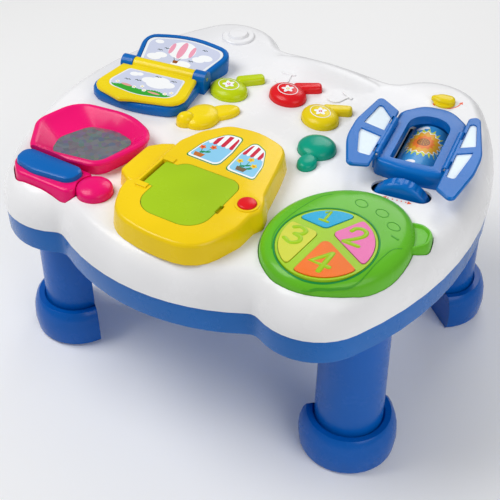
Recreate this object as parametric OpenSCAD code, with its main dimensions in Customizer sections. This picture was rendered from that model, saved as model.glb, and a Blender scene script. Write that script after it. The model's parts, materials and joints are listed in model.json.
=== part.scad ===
// Musical activity table for small children: a white lobed top over a blue tray on four D-shaped legs.
// Pods on the top carry the play pieces: a house with a door, a number pad, a mirror tub with a press bar,
// a turning book page, a shuttered window over a picture drum, note keys and a turning knob.
// Origin: on the floor under the middle of the table. X runs across the front, Y to the back, Z up.

/* [Table] */
// Width over the two widest points of the sides
table_w = 444; // [436:1:452]
// Depth from the front bulge to the back lobes
table_d = 400; // [394:1:406]
// Height of the flat play surface above the floor
table_h = 234; // [224:1:250]
// Height of the white crown from its seam to the flat top
crown_h = 36; // [32:1:40]
// How far the rolled edge of the crown reaches inward
crown_edge = 19.6; // [17:0.2:21]
// Wall of the white crown
crown_wall = 3; // [2.6:0.1:3.4]
// Height of the blue tray below the seam
band_h = 27; // [25:0.5:29]
// How far the tray stands back under the crown's rim
rim_step = 1.2; // [0.6:0.1:1.6]
// Wall of the blue tray
tray_wall = 2.6; // [2.2:0.1:3.2]

/* [Legs] */
// Radius of the leg column where it meets the tray
leg_r = 31.4; // [30.6:0.2:33]
// Extra radius of the column just above the shoe
leg_flare = 1.4; // [0:0.2:3]
// Widest radius of the shoe
shoe_r = 47.3; // [45:0.1:50]
// Height of the shoe's rolled rim
shoe_h = 42; // [36:1:48]
// Distance from the leg's centre to its flat inner face
leg_flat = 12.4; // [11:0.2:14]
// Wall of a leg
leg_wall = 3; // [2.4:0.1:3.4]

/* [House] */
// Height of the house above the play surface
house_h = 20; // [18:0.5:22]
// Width of the door leaf
door_w = 66.5; // [62:0.5:67]
// Height of the door leaf, front to back
door_l = 75; // [70:0.5:77]
// Thickness of the door leaf
door_t = 2.8; // [2.2:0.1:3]
// Radius of the red button
red_r = 8.2; // [7:0.1:9]

/* [Number pad] */
// Half width of the pad
pad_rx = 60.5; // [58:0.5:61]
// Half length of the pad
pad_ry = 72; // [70:0.5:73]
// Height of the pad above the play surface
pad_h = 12; // [11:0.5:14]
// Half width of the number disc
disc_rx = 41.5; // [40:0.5:42]
// Half length of the number disc
disc_ry = 46; // [44:0.5:46.5]
// Width of the arms of the cross between the number keys
cross_w = 7.6; // [6.4:0.2:8]

/* [Mirror tub and bar] */
// Height of the tub's rim above the play surface
tub_h = 15; // [13:0.5:18]
// Height of the press bar above the play surface
bar_h = 12; // [11:0.5:13]
// Radius of the round pink button
dome_r = 16.5; // [14:0.5:17]
// Height of the round pink button above the play surface
dome_h = 11; // [9:0.5:13]

/* [Book] */
// Height of the hinge line of the page above the play surface
book_axis_h = 13; // [12.5:0.5:15]
// Radius of the page's barrel
book_barrel_r = 7.2; // [6:0.1:7.6]
// Thickness of the page
page_t = 4.6; // [3.6:0.1:4.8]
// Tilt of the fixed back leaf
leaf_tilt = 12; // [9:0.5:13]

/* [Window] */
// Height of the window frame above the play surface
window_h = 16; // [15:0.5:18]
// Half width of the window opening
opening_hw = 20; // [18:0.5:20.5]
// Radius of the picture drum
drum_r = 23.5; // [22:0.25:24]
// Radius of the ribbed roller
roller_r = 28; // [26.5:0.25:28.5]
// Width of the ribbed roller
roller_w = 14.5; // [13:0.5:15.5]
// Thickness of a shutter
shutter_t = 4.4; // [3.6:0.1:4.8]
// Angle at which the open left shutter leans up
lean_left = 12; // [5:0.5:14]
// Angle at which the open right shutter leans up
lean_right = 1; // [0:0.5:8]

/* [Keys] */
// Travel of the note keys and the round button
key_travel = 2.5; // [2:0.1:3]
// Height of the key domes above the play surface
key_h = 10; // [8:0.5:12]
// How far a key's flange reaches under the crown
key_flange = 2.2; // [1.6:0.1:2.6]

/* [Fits] */
// Gap around pieces that slide or sit in a recess
gap = 0.3; // [0.25:0.05:0.4]
// Radial clearance of pins and axles in their bores
fit = 0.05; // [0.03:0.01:0.08]

/* [Hidden] */

$fn = 48;
tiny = 0.01;
hw = table_w / 2;
hd = table_d / 2;
top_z = table_h;
seam_z = top_z - crown_h;
tray_z = seam_z - band_h;
ceiling_z = top_z - crown_wall;

// ---- plane geometry -------------------------------------------------------------------------------

function unit(a) = [cos(a), sin(a)];
function heading(a, b) = atan2(b[1] - a[1], b[0] - a[0]);
function short_turn(a) = a > 180 ? a - 360 : a < -180 ? a + 360 : a;

// Points on an arc, without its last point when open_end is true.
function arc(c, r, a0, a1, n, open_end = true) =
    [for (i = [0 : open_end ? n - 1 : n]) c + r * unit(a0 + (a1 - a0) * i / n)];

// The point at distance ra from a and rb from b, to the left (side 1) or right (side -1) of a to b.
function circle_meet(a, ra, b, rb, side) =
    let (d = norm(b - a), x = (ra * ra - rb * rb + d * d) / (2 * d), u = (b - a) / d)
    a + u * x + side * sqrt(ra * ra - x * x) * [-u[1], u[0]];

// Corners moved inward by d, square to both edges; counter-clockwise outlines only.
function inner_corners(p, d) = let (n = len(p))
    [for (i = [0 : n - 1])
        let (a = p[(i + n - 1) % n], b = p[(i + 1) % n],
             u = (p[i] - a) / norm(p[i] - a), v = (b - p[i]) / norm(b - p[i]),
             m = [-u[1] - v[1], u[0] + v[0]])
        p[i] + m * d / (1 + u * v)];

// One rounded corner as n + 1 points.
function corner_arc(a, p, b, r, n) =
    let (u = (a - p) / norm(a - p), v = (b - p) / norm(b - p), half = acos(u * v) / 2,
         c = p + (u + v) / norm(u + v) * r / sin(half),
         a0 = heading(c, p + u * r / tan(half)), a1 = heading(c, p + v * r / tan(half)))
    [for (i = [0 : n]) c + r * unit(a0 + short_turn(a1 - a0) * i / n)];

// Outline with rounded corners, set inward by d: an outer corner loses d of its radius, an inner one gains it.
function outline(corners, radii, d = 0, n = 6) =
    let (p = inner_corners(corners, d), m = len(p))
    [for (i = [0 : m - 1])
        let (a = p[(i + m - 1) % m], b = p[(i + 1) % m],
             left = cross(p[i] - a, b - p[i]) > 0)
        each corner_arc(a, p[i], b, left ? max(radii[i] - d, 1) : max(radii[i] + d, 1), n)];

function ellipse_path(c, rx, ry, n, turn = 0, d = 0) =
    [for (i = [0 : n - 1])
        let (a = 360 * i / n, q = [rx * cos(a), ry * sin(a)],
             k = [ry * cos(a), rx * sin(a)], s = q - d * k / norm(k))
        c + [s[0] * cos(turn) - s[1] * sin(turn), s[0] * sin(turn) + s[1] * cos(turn)]];

function moved(p, by, turn = 0) =
    [for (q = p) by + [q[0] * cos(turn) - q[1] * sin(turn), q[0] * sin(turn) + q[1] * cos(turn)]];

function ring(path, z) = [for (p = path) [p[0], p[1], z]];

// The middle of a ring's points.
function ring_mean(r) = [for (p = r) 1] * r / len(r);

// A solid through a run of rings; the first ring is closed downward and the last upward, each by a fan of
// triangles from its middle.
module loft(rings) {
    n = len(rings[0]);
    m = len(rings);
    top = (m - 1) * n;
    polyhedron(points = concat([for (r = rings) each r], [ring_mean(rings[0]), ring_mean(rings[m - 1])]),
        faces = concat([for (i = [0 : n - 1]) [i, (i + 1) % n, m * n]],
            [for (k = [0 : m - 2], i = [0 : n - 1]) let (j = (i + 1) % n)
                each [[k * n + i, (k + 1) * n + i, (k + 1) * n + j], [k * n + i, (k + 1) * n + j, k * n + j]]],
            [for (i = [0 : n - 1]) [top + (i + 1) % n, top + i, m * n + 1]]));
}

// ---- the table's outline ----------------------------------------------------------------------------

front_lobe_r = 58.5;
back_lobe_r = 60;
side_r = 312.4;
front_bulge_r = 197.6;
back_bulge_r = 382.3;
front_fillet_r = 11.6;
back_fillet_r = 13.1;
back_bulge_in = 24.3;
front_lobe = [hw - 88, -hd + 77];
back_lobe = [hw - 105, hd - back_lobe_r];
side_c = circle_meet(front_lobe, side_r - front_lobe_r, back_lobe, side_r - back_lobe_r, 1);
front_bulge = [0, -hd + front_bulge_r];
back_bulge = [0, hd - back_bulge_in - back_bulge_r];
front_fillet = circle_meet(front_bulge, front_bulge_r + front_fillet_r, front_lobe,
    front_lobe_r + front_fillet_r, -1);
back_fillet = circle_meet(back_lobe, back_lobe_r + back_fillet_r, back_bulge, back_bulge_r + back_fillet_r, -1);

// The table outline set inward by d, from the middle of the front counter-clockwise.
function half_outline(d) = concat(
    arc(front_bulge, front_bulge_r - d, -90, heading(front_bulge, front_fillet), 6),
    arc(front_fillet, front_fillet_r + d, heading(front_fillet, front_bulge),
        heading(front_fillet, front_lobe), 3),
    arc(front_lobe, front_lobe_r - d, heading(front_lobe, front_fillet), heading(side_c, front_lobe), 10),
    arc(side_c, side_r - d, heading(side_c, front_lobe), heading(side_c, back_lobe), 13),
    arc(back_lobe, back_lobe_r - d, heading(side_c, back_lobe), heading(back_lobe, back_fillet), 10),
    arc(back_fillet, back_fillet_r + d, heading(back_fillet, back_lobe) + 360,
        heading(back_bulge, back_fillet) + 180, 3),
    arc(back_bulge, back_bulge_r - d, heading(back_bulge, back_fillet), 90, 6, false));

function table_outline(d) = let (h = half_outline(d), n = len(h))
    concat(h, [for (i = [n - 2 : -1 : 1]) [-h[i][0], h[i][1]]]);

// A quarter ellipse from the seam to the flat top; the cavity follows the same curve one wall inside.
function crown_rings(d, drop, steps) =
    [for (i = [0 : steps]) let (t = 90 * i / steps)
        ring(table_outline(d + (crown_edge - d / 2) * (1 - cos(t))), seam_z + (crown_h - drop) * sin(t))];

// ---- places of the play pieces -----------------------------------------------------------------------

house_c = [5.5, -hd];
pad_c = [hw - 85.5, -94];
disc_c = pad_c + [-1.5, -18];
tub_c = [-hw, 0];
dome_c = [-hw + 142, -hd + 55.5];
book_c = [-hw + 94, 32];
book_turn = 8;
window_c = [hw - 77, 48];
window_turn = 8.4;
knob_c = [hw - 95, hd - 48];
boss_c = [-hw + 105.5, hd - 43];

module at_book() { translate([book_c[0], book_c[1], 0]) rotate([0, 0, book_turn]) children(); }
module at_window() { translate([window_c[0], window_c[1], 0]) rotate([0, 0, window_turn]) children(); }

// ---- house ---------------------------------------------------------------------------------------------

house_corners = [for (q = [[-43, 21], [0, 10.5], [50, 15], [64.5, 58], [65, 78], [69.5, 88], [65.5, 101],
    [60.5, 110], [52, 146], [42, 181], [7, 191.5], [-25, 186], [-44, 163], [-53, 140], [-52.5, 72],
    [-60, 67], [-57, 52]]) q + house_c];
house_radii = [36, 150, 34, 26, 6, 7, 5, 20, 80, 24, 60, 24, 30, 12, 2, 4, 36];
wing_corners = [for (q = [[-48, 66], [-48, 138], [-56, 138.5], [-66, 132.5], [-76, 122], [-76, 79], [-62, 70]])
    q + house_c];
wing_radii = [2, 2, 4, 8, 9, 9, 5];
house_top = top_z + house_h;
wing_top = house_top - 4;
house_wall = 2.6;
door_z = house_top - door_t;
door_x1 = house_c[0] + 35.5;
door_y1 = house_c[1] + 112;
door_corners = [[door_x1 - door_w, door_y1 - door_l], [door_x1, door_y1 - door_l], [door_x1, door_y1],
    [door_x1 - door_w, door_y1]];
door_radii = [21, 21, 13, 13];
door_rest = 3;
recess_z = top_z + 11;
door_axis = [door_x1 - door_w - 9, house_top - door_t - 0.1];
door_hinge_y = door_y1 - 25;
door_hinge_l = 36;
door_barrel_r = 2.8;
door_pin_r = 1.2;
hinge_bump = 6;
red_c = [house_c[0] + 52.5, house_c[1] + 89];
red_travel = 2;
red_flange = 2.4;
house_cavity_z = recess_z - 3;
house_skim = 0.4;
red_flange_t = 2.4;

function soft_rings(corners, radii, z0, z1, edge, draft, n) = [
    ring(outline(corners, radii, 0, n), z0),
    ring(outline(corners, radii, draft, n), z1 - edge),
    for (t = [30, 60, 90])
        ring(outline(corners, radii, draft + edge * (1 - cos(t)), n), z1 - edge + edge * sin(t))];

module along_y(c, y0, y1, z, r) {
    translate([c, y0, z]) rotate([-90, 0, 0]) cylinder(h = y1 - y0, r = r);
}

module door_shape(d, z0, z1) {
    translate([0, 0, z0]) linear_extrude(z1 - z0) polygon(outline(door_corners, door_radii, d, 8));
}

module house_pod() color("gold") difference() {
    union() {
        difference() {
            loft(concat([ring(outline(house_corners, house_radii, house_wall + 2, 4), house_cavity_z),
                ring(outline(house_corners, house_radii, house_wall, 4), top_z)],
                soft_rings(house_corners, house_radii, top_z, house_top + house_skim, 4 + house_skim, 2, 4)));
            // the top is skimmed flat
            translate([house_c[0] - hw / 2, house_c[1], house_top]) cube([hw, hd, 2 * house_skim]);
        }
        loft(soft_rings(wing_corners, wing_radii, top_z, wing_top, 3, 1.5, 4));
        for (s = [-1, 1])
            translate([door_axis[0] - 5.5, door_hinge_y + s * (door_hinge_l / 2 + gap + hinge_bump / 2)
                - hinge_bump / 2, house_top - 6]) cube([11, hinge_bump, 7.2]);
        translate([red_c[0], red_c[1], house_top - 1]) cylinder(h = 1.8, r = red_r + 2.6);
    }
    door_shape(-0.5, door_z - 0.2, house_top + 2);
    door_shape(door_rest, recess_z, house_top);
    // slot of the hinge, with room for the neck to swing up
    translate([door_axis[0] - door_barrel_r - 3, door_hinge_y - door_hinge_l / 2 - gap, recess_z])
        cube([door_barrel_r + 13.5, door_hinge_l + 2 * gap, house_h]);
    along_y(door_axis[0], door_hinge_y - door_hinge_l / 2 - gap - hinge_bump - 1,
        door_hinge_y + door_hinge_l / 2 + gap + hinge_bump + 1, door_axis[1], door_pin_r + fit);
    // thumb scoop at the free edge of the door
    translate([door_x1 + 0.4, door_y1 - 47, door_z - 3]) cube([2.2, 12, 9]);
    translate([red_c[0], red_c[1], top_z]) cylinder(h = house_h + 2, r = red_r + gap);
}

module door_flap() color([0.64, 0.78, 0.08]) difference() {
    union() {
        difference() {
            door_shape(0, door_z, house_top);
            translate([door_x1 - 1.4, door_y1 - 46, door_z - 1]) cube([4, 10, door_t + 2]);
        }
        translate([door_axis[0], door_hinge_y - door_hinge_l / 2, door_z]) cube([11, door_hinge_l, door_t]);
        along_y(door_axis[0], door_hinge_y - door_hinge_l / 2, door_hinge_y + door_hinge_l / 2,
            door_axis[1], door_barrel_r);
    }
    along_y(door_axis[0], door_hinge_y - door_hinge_l, door_hinge_y + door_hinge_l, door_axis[1],
        door_pin_r + fit);
}

module door_pin() color("silver")
    along_y(door_axis[0], door_hinge_y - door_hinge_l / 2 - gap - hinge_bump,
        door_hinge_y + door_hinge_l / 2 + gap + hinge_bump, door_axis[1], door_pin_r);

// A button body of revolution: cap, straight guide and retaining flange, from the flange's underside up.
module round_button(c, z0, flange_r, flange_t, r, z1, crest) {
    translate([c[0], c[1], 0]) rotate_extrude() polygon(concat(
        [[0, z0], [flange_r, z0], [flange_r, z0 + flange_t], [r, z0 + flange_t], [r, z1]],
        [for (t = [15 : 15 : 90]) [r * cos(t), z1 + (crest - z1) * sin(t)]]));
}

red_flange_z = house_cavity_z - gap - red_flange_t;
module red_button() color("red")
    round_button(red_c, red_flange_z, red_r + red_flange, red_flange_t, red_r, house_top + 1.6, house_top + 3.4);

label_t = 0.3;
window_labels = [[[-33, 122], [2, 121], [3, 146], [0, 171], [-16, 170], [-29, 150]],
    [[9, 121], [40, 120], [37, 142], [27, 164], [11, 172], [8, 150]]];
label_radii = [[3, 7, 30, 5, 12, 40], [5, 3, 30, 12, 5, 40]];
module house_labels() color("lightskyblue") for (k = [0, 1])
    translate([house_c[0], house_c[1], house_top]) linear_extrude(label_t)
        polygon(outline(window_labels[k], label_radii[k], 0, 5));

// ---- number pad ----------------------------------------------------------------------------------------

pad_seat_z = top_z - 12;
pad_seat_t = 2.6;
pad_top = top_z + pad_h;
pad_wall = 2.4;
pad_turn = -16;
pad_ledge = 0.8;
key_rim = 2.2;
cross_c = disc_c + [-7, 12];
disc_t = 3;
disc_z = pad_top - disc_t - 0.4;
key_lip = 1.3;
key_flange_t = 2.2;
disc_hole_z = disc_z - 2;
pad_n = 56;
key_z = disc_z - gap - key_flange_t;
pad_key_travel = 2;
pad_board_t = 1.6;
pad_switch_h = 2.4;
pad_board_z = key_z - pad_key_travel - gap - pad_switch_h - pad_board_t;
post_r = 2.8;
pad_posts = [for (q = [[-43, -38], [39.5, -40.5], [-22, 50], [22, 50]]) pad_c + q];
ear_c = pad_c + [51, 36];

// The pad's ear is a rounded tongue that leans out to the right of the back edge.
function ear_path(d) = moved(outline([[-18, -18], [5, -20], [18, -9], [18, 10], [7, 18], [-18, 17]],
    [7, 12, 13, 13, 12, 7], d, 4), ear_c, 12);

function pad_rings(d, z_low) = concat(
    [for (q = [[0, z_low], [0.3, top_z], [1, pad_top - 9]]) ring(ellipse_path(pad_c, pad_rx, pad_ry, pad_n, pad_turn,
        d + q[0]), q[1])],
    [for (t = [25, 50, 75]) ring(ellipse_path(pad_c, pad_rx, pad_ry, pad_n, pad_turn, d + 1 + 13 * (1 - cos(t))),
        pad_top - 9 + 8 * sin(t))]);

module pad_pod() color([0.39, 0.72, 0.16]) difference() {
    union() {
        loft(concat([ring(ellipse_path(pad_c, pad_rx, pad_ry, pad_n, pad_turn, pad_wall + 8), disc_hole_z),
            ring(ellipse_path(pad_c, pad_rx, pad_ry, pad_n, pad_turn, pad_wall + 1), disc_hole_z - 4),
            ring(ellipse_path(pad_c, pad_rx, pad_ry, pad_n, pad_turn, pad_wall), pad_seat_z)],
            pad_rings(0, pad_seat_z), [ring(ellipse_path(pad_c, pad_rx, pad_ry, pad_n, pad_turn, 20), pad_top)]));
        difference() {
            loft([ring(ear_path(0), pad_seat_z), ring(ear_path(0.8), top_z + 3), ring(ear_path(2), top_z + 5.4),
                ring(ear_path(3.6), top_z + 5.6), ring(ear_path(5.2), top_z + 3.6)]);
            // the ear stands outside the pad's wall only
            translate([0, 0, pad_seat_z - 1]) linear_extrude(disc_hole_z - pad_seat_z + 1)
                polygon(ellipse_path(pad_c, pad_rx, pad_ry, pad_n, pad_turn, pad_wall + 1));
        }
        for (q = pad_posts) translate([q[0], q[1], pad_board_z + pad_board_t])
            cylinder(h = disc_hole_z + 1 - pad_board_z - pad_board_t, r = post_r);
    }
    translate([0, 0, disc_z]) linear_extrude(pad_h) polygon(ellipse_path(disc_c, disc_rx, disc_ry, pad_n, 0, -gap));
    translate([0, 0, disc_hole_z - 3]) linear_extrude(pad_h)
        polygon(ellipse_path(disc_c, disc_rx, disc_ry, pad_n, 0, pad_ledge));
}

// The point where a ray from p meets the disc's ellipse drawn in by rim.
function disc_hit(p, a, rim) = let (q = p - disc_c, rx = disc_rx - rim, ry = disc_ry - rim, u = unit(a),
    k = pow(u[0] / rx, 2) + pow(u[1] / ry, 2), m = q[0] * u[0] / (rx * rx) + q[1] * u[1] / (ry * ry),
    c = pow(q[0] / rx, 2) + pow(q[1] / ry, 2) - 1)
    p + u * (sqrt(m * m - k * c) - m) / k;

// The outline of one number key between two arms of the cross: two straight sides and a curved one at the rim.
function key_mid_angle(span) = (span[0] + span[1]) / 2;
function key_apex(span, d) = cross_c
    + (cross_w / 2 + d) / sin((span[1] - span[0]) / 2) * unit(key_mid_angle(span));
function key_middle(span) = let (apex = key_apex(span, 0))
    (apex + disc_hit(apex, key_mid_angle(span), key_rim)) / 2;
function sector(span, d) = let (apex = key_apex(span, d),
    bow = [for (i = [0 : 10]) disc_hit(apex, span[0] + (span[1] - span[0]) * i / 10, key_rim + d)])
    concat(corner_arc(bow[10], apex, bow[0], 5, 4), corner_arc(apex, bow[0], bow[1], 2.5, 3),
        [for (i = [1 : 9]) bow[i]], corner_arc(bow[9], bow[10], apex, 2.5, 3));

// Directions of the cross's arms on both sides of each key.
key_spans = [[62, 176], [-30, 62], [176, 265], [265, 330]];
module pad_disc() color([0.6, 0.77, 0.1]) difference() {
    translate([0, 0, disc_z]) linear_extrude(disc_t) polygon(ellipse_path(disc_c, disc_rx, disc_ry, pad_n));
    for (a = key_spans) translate([0, 0, disc_z - 1]) linear_extrude(disc_t + 2) polygon(sector(a, 0));
}

module number_key(k, hue) color(hue) {
    translate([0, 0, key_z]) linear_extrude(key_flange_t) polygon(sector(key_spans[k], gap - key_lip));
    translate([0, 0, key_z + key_flange_t - tiny]) linear_extrude(disc_z + disc_t - key_z - key_flange_t + 0.8)
        polygon(sector(key_spans[k], gap));
}

module key_one() number_key(0, "deepskyblue");
module key_two() number_key(1, "hotpink");
module key_three() number_key(2, [0.8, 0.82, 0.24]);
module key_four() number_key(3, "darkorange");

module pad_board() color("darkgreen") translate([0, 0, pad_board_z]) linear_extrude(pad_board_t)
    polygon(ellipse_path(pad_c, pad_rx, pad_ry, pad_n, pad_turn, pad_wall + 1.5));

// ---- mirror tub, press bar and round button ------------------------------------------------------------

tub_corners = [for (q = [[36, -96], [62, -139], [134, -127], [154, -62], [110, -42], [50, -50]]) q + tub_c];
tub_radii = [24, 20, 22, 26, 60, 30];
// The flat floor under the mirror lies toward the right of the tub.
floor_corners = [for (q = [[62, -96], [70, -120], [119, -114], [130, -66], [104, -59], [76, -66]]) q + tub_c];
floor_radii = [16, 12, 14, 10, 40, 16];
base_corners = [for (q = [[50, -128], [52, -150], [67, -164.5], [130, -165], [133, -128]]) q + tub_c];
base_radii = [8, 14, 12, 10, 8];
bar_corners = [for (q = [[55, -131.5], [57, -153], [82, -158.5], [122, -154], [125, -132.5]]) q + tub_c];
bar_radii = [9, 11, 40, 11, 9];
tub_top = top_z + tub_h;
tub_seat_z = top_z - 8;
tub_floor_z = top_z + 2;
mirror_t = 0.5;
mirror_margin = 0.6;
base_top = top_z + 7;
bar_travel = 3;
bar_top = top_z + bar_h;
bar_low = top_z + 3.6;
plunger_r = 3;
plunger_x = 22;
bar_c = tub_c + [91, -145];

module tub_pod() color([0.92, 0.05, 0.44]) difference() {
    union() {
        loft([ring(outline(tub_corners, tub_radii, 4.5), tub_seat_z),
            ring(outline(tub_corners, tub_radii, 3.8), top_z),
            ring(outline(tub_corners, tub_radii, 1), tub_top - 5),
            ring(outline(tub_corners, tub_radii, 0), tub_top - 3),
            ring(outline(tub_corners, tub_radii, 0.6), tub_top - 1.2),
            ring(outline(tub_corners, tub_radii, 2.4), tub_top),
            ring(outline(tub_corners, tub_radii, 5.2), tub_top - 0.2),
            ring(outline(tub_corners, tub_radii, 7.4), tub_top - 1.8),
            ring(outline(floor_corners, floor_radii, 0), tub_floor_z)]);
        loft(soft_rings(base_corners, base_radii, tub_seat_z, base_top, 3, 1.5, 6));
    }
    translate([0, 0, bar_low - bar_travel]) linear_extrude(tub_h) polygon(outline(bar_corners, bar_radii, -gap));
    for (s = [-1, 1]) translate([bar_c[0] + s * plunger_x, bar_c[1], tub_seat_z - 1])
        cylinder(h = tub_h, r = plunger_r + gap);
    // the base makes room for the round button beside it
    dome_well(gap, tub_seat_z - 1, top_z);
    translate([dome_c[0], dome_c[1], top_z - 1]) cylinder(h = base_top + 2 - top_z, r = dome_r + gap);
}

module tub_mirror() color("lightsteelblue") translate([0, 0, tub_floor_z]) linear_extrude(mirror_t)
    polygon(outline(floor_corners, floor_radii, mirror_margin));

module press_bar() color([0.05, 0.35, 0.65]) {
    loft([ring(outline(bar_corners, bar_radii, 0), bar_low), ring(outline(bar_corners, bar_radii, 0), bar_top - 3),
        ring(outline(bar_corners, bar_radii, 0.8), bar_top - 1), ring(outline(bar_corners, bar_radii, 2.8), bar_top)]);
    for (s = [-1, 1]) translate([bar_c[0] + s * plunger_x, bar_c[1], bar_plunger_z])
        cylinder(h = bar_low + 1 - bar_plunger_z, r = plunger_r);
}

flange_z = ceiling_z - gap - key_flange_t;
dome_flange = 1.2;
module dome_well(d, z0, z1)
    translate([dome_c[0], dome_c[1], z0]) cylinder(h = z1 - z0, r = dome_r + dome_flange + d);
bar_plunger_z = tub_seat_z - 1;
module dome_button() color([0.92, 0.05, 0.44]) {
    round_button(dome_c, flange_z, dome_r + dome_flange, key_flange_t, dome_r, top_z + 1.5 + key_travel,
        top_z + dome_h);
    translate([dome_c[0], dome_c[1], plunger_z]) cylinder(h = flange_z + 1 - plunger_z, r = plunger_r);
}

// ---- book ----------------------------------------------------------------------------------------------

book_axis_z = top_z + book_axis_h;
book_v = 10;
front_corners = [[-50, 17], [-66, -46], [-8, -57], [42, -48], [39, 17]];
front_radii = [3, 20, 120, 20, 3];
back_corners = [[-43, 14], [37, 14], [54.5, 60], [0, 72], [-51, 60]];
back_radii = [3, 3, 15, 120, 15];
page_corners = [[-46, 9], [-58, -44], [-30, -54], [-20, -58], [-9, -54], [43, -45], [35, 9]];
page_radii = [3, 15, 20, 6, 20, 17, 3];
barrel_u = [-36.7, 30.7];
knuckle_r = 8;
left_knuckle = [-50, -37];
right_knuckle = [31, 44];
book_pin_r = 2;
page_low = 2;
front_top = book_axis_z - page_low - 0.3;
leaf_drop = 3.2;
card_t = 0.6;
card_rim = 1.2;
card_lift = 0.03;

module along_x(x0, x1, y, z, r) {
    translate([x0, y, z]) rotate([0, 90, 0]) cylinder(h = x1 - x0, r = r);
}

// The back leaf's plane: height over v at a given depth under the hinge plane.
function leaf_z(v, drop) = book_axis_z + (v - book_v) * tan(leaf_tilt) - drop / cos(leaf_tilt);
function leaf_ring(d, drop) = [for (p = outline(back_corners, back_radii, d, 5)) [p[0], p[1], leaf_z(p[1], drop)]];

module book_base() color([0, 0.38, 0.66]) at_book() difference() {
    union() {
        loft([ring(outline(front_corners, front_radii, 1.5, 5), top_z),
            ring(outline(front_corners, front_radii, 0, 5), top_z + 3),
            ring(outline(front_corners, front_radii, 0.4, 5), front_top - 3),
            ring(outline(front_corners, front_radii, 1.4, 5), front_top - 1),
            ring(outline(front_corners, front_radii, 3.4, 5), front_top)]);
        loft([ring(outline(back_corners, back_radii, 1, 5), top_z), leaf_ring(0, leaf_drop + 3.2),
            leaf_ring(0.3, leaf_drop + 1.6), leaf_ring(1.4, leaf_drop + 0.4), leaf_ring(3, leaf_drop),
            leaf_ring(5.4, leaf_drop), leaf_ring(5.6, leaf_drop + card_rim)]);
        for (k = [left_knuckle, right_knuckle]) {
            along_x(k[0], k[1], book_v, book_axis_z, knuckle_r);
            translate([k[0], book_v - knuckle_r, top_z]) cube([k[1] - k[0], 2 * knuckle_r, book_axis_h]);
        }
    }
    along_x(barrel_u[0] - gap, barrel_u[1] + gap, book_v, book_axis_z, book_barrel_r + 0.5);
    along_x(left_knuckle[0] + 3, right_knuckle[1] + 1, book_v, book_axis_z, book_pin_r + fit);
}

module book_page() color([0.94, 0.84, 0.04]) at_book() difference() {
    union() {
        loft([ring(outline(page_corners, page_radii, 1, 4), book_axis_z - page_low),
            ring(outline(page_corners, page_radii, 0, 4), book_axis_z - page_low + 1),
            ring(outline(page_corners, page_radii, 0, 4), book_axis_z - page_low + page_t - 1.4),
            ring(outline(page_corners, page_radii, 1.4, 4), book_axis_z - page_low + page_t)]);
        along_x(barrel_u[0], barrel_u[1], book_v, book_axis_z, book_barrel_r);
    }
    along_x(barrel_u[0] - 20, barrel_u[0], book_v, book_axis_z, knuckle_r + 0.6);
    along_x(barrel_u[1], barrel_u[1] + 20, book_v, book_axis_z, knuckle_r + 0.6);
    along_x(barrel_u[0] - 1, barrel_u[1] + 1, book_v, book_axis_z, book_pin_r + fit);
    translate([0, 0, book_axis_z - page_low + page_t - card_t]) linear_extrude(3)
        polygon(outline(card_corners, card_radii, -0.1, 5));
}

module book_pin() color("silver") at_book()
    along_x(left_knuckle[0] + 3 + gap, right_knuckle[1], book_v, book_axis_z, book_pin_r);

card_corners = [[-36, -4], [-47, -38], [-7, -46.5], [31, -39], [27, -4]];
card_radii = [4, 11, 60, 12, 4];
module page_card() color("lavender") at_book()
    translate([0, 0, book_axis_z - page_low + page_t - card_t]) linear_extrude(card_t)
        polygon(outline(card_corners, card_radii, 0, 5));

module back_card() color("lavender") at_book() translate([0, book_v, book_axis_z]) rotate([leaf_tilt, 0, 0])
    translate([0, -book_v, -leaf_drop - card_rim + card_lift]) linear_extrude(card_t)
        polygon(outline([for (p = back_corners) [p[0], book_v
            + (p[1] - book_v - (leaf_drop + card_rim) * sin(leaf_tilt)) / cos(leaf_tilt)]],
            back_radii, 6.2, 5));

// ---- window, drum and shutters -------------------------------------------------------------------------

frame_corners = [[-33, -35], [0, -40], [35, -37], [34, 52], [14, 71.5], [-14, 71.5], [-34, 52]];
frame_radii = [7, 90, 7, 16, 26, 26, 16];
opening_v = [-26, 52];
frame_top = top_z + window_h;
drum_axis_z = top_z - 17;
drum_v = [-24.5, 50.5];
drum_top = drum_axis_z + drum_r;
lip_z = drum_top + 0.6;
pocket_hw = opening_hw + 1.5;
roller_v = -42.5 - roller_w;
roller_crown = 5;
slot_c = roller_v + roller_w / 2 - 1.5;
slot_hw = roller_w / 2 + 3;
slot_hl = roller_r - 0.5;
axle_r = 2.5;
hub_r = 8;
bracket_t = 3.4;
bracket_v = [slot_c - slot_hw - gap - bracket_t, drum_v[1] + 0.5];
rib_n = 24;
rib_h = 1.1;
hinge_u = opening_hw + 11.5;
shutter_axis_z = frame_top + shutter_t / 2 + 0.4;
shutter_barrel_r = 3;
shutter_pin_r = 1.2;
knuckle_l = 12;
shutter_barrel_l = 36;
// Each shutter and the pane in it: a right one's outlines and, mirrored, a left one's.
leaf_right = [[0.6, -61], [17.8, -74.5], [26.2, -28], [26.6, 0], [10, 63.5], [0.6, 56]];
leaf_left = [[0.6, -50.5], [18.7, -61], [31.8, -24], [32.3, 6], [23.5, 54.5], [0.6, 43]];
shutter_radii = [3, 5, 60, 60, 5, 3];
pane_right = [[4.2, -42], [12, -43.5], [17.5, -4], [17.5, 14], [9.5, 50], [4.2, 45]];
pane_left = [[4.2, -38.5], [15.5, -41], [23.8, -12], [24.3, 8], [19.5, 43], [4.2, 28]];
pane_radii = [2, 3, 30, 30, 3, 2];
// The bar across each shutter: its place, its slant and its width.
bar_right = [8.5, 2.3, 28, 8.6];
bar_left = [8.5, 0, 0, 9.4];
pane_t = 1.6;
pane_gap = 0.12;

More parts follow.
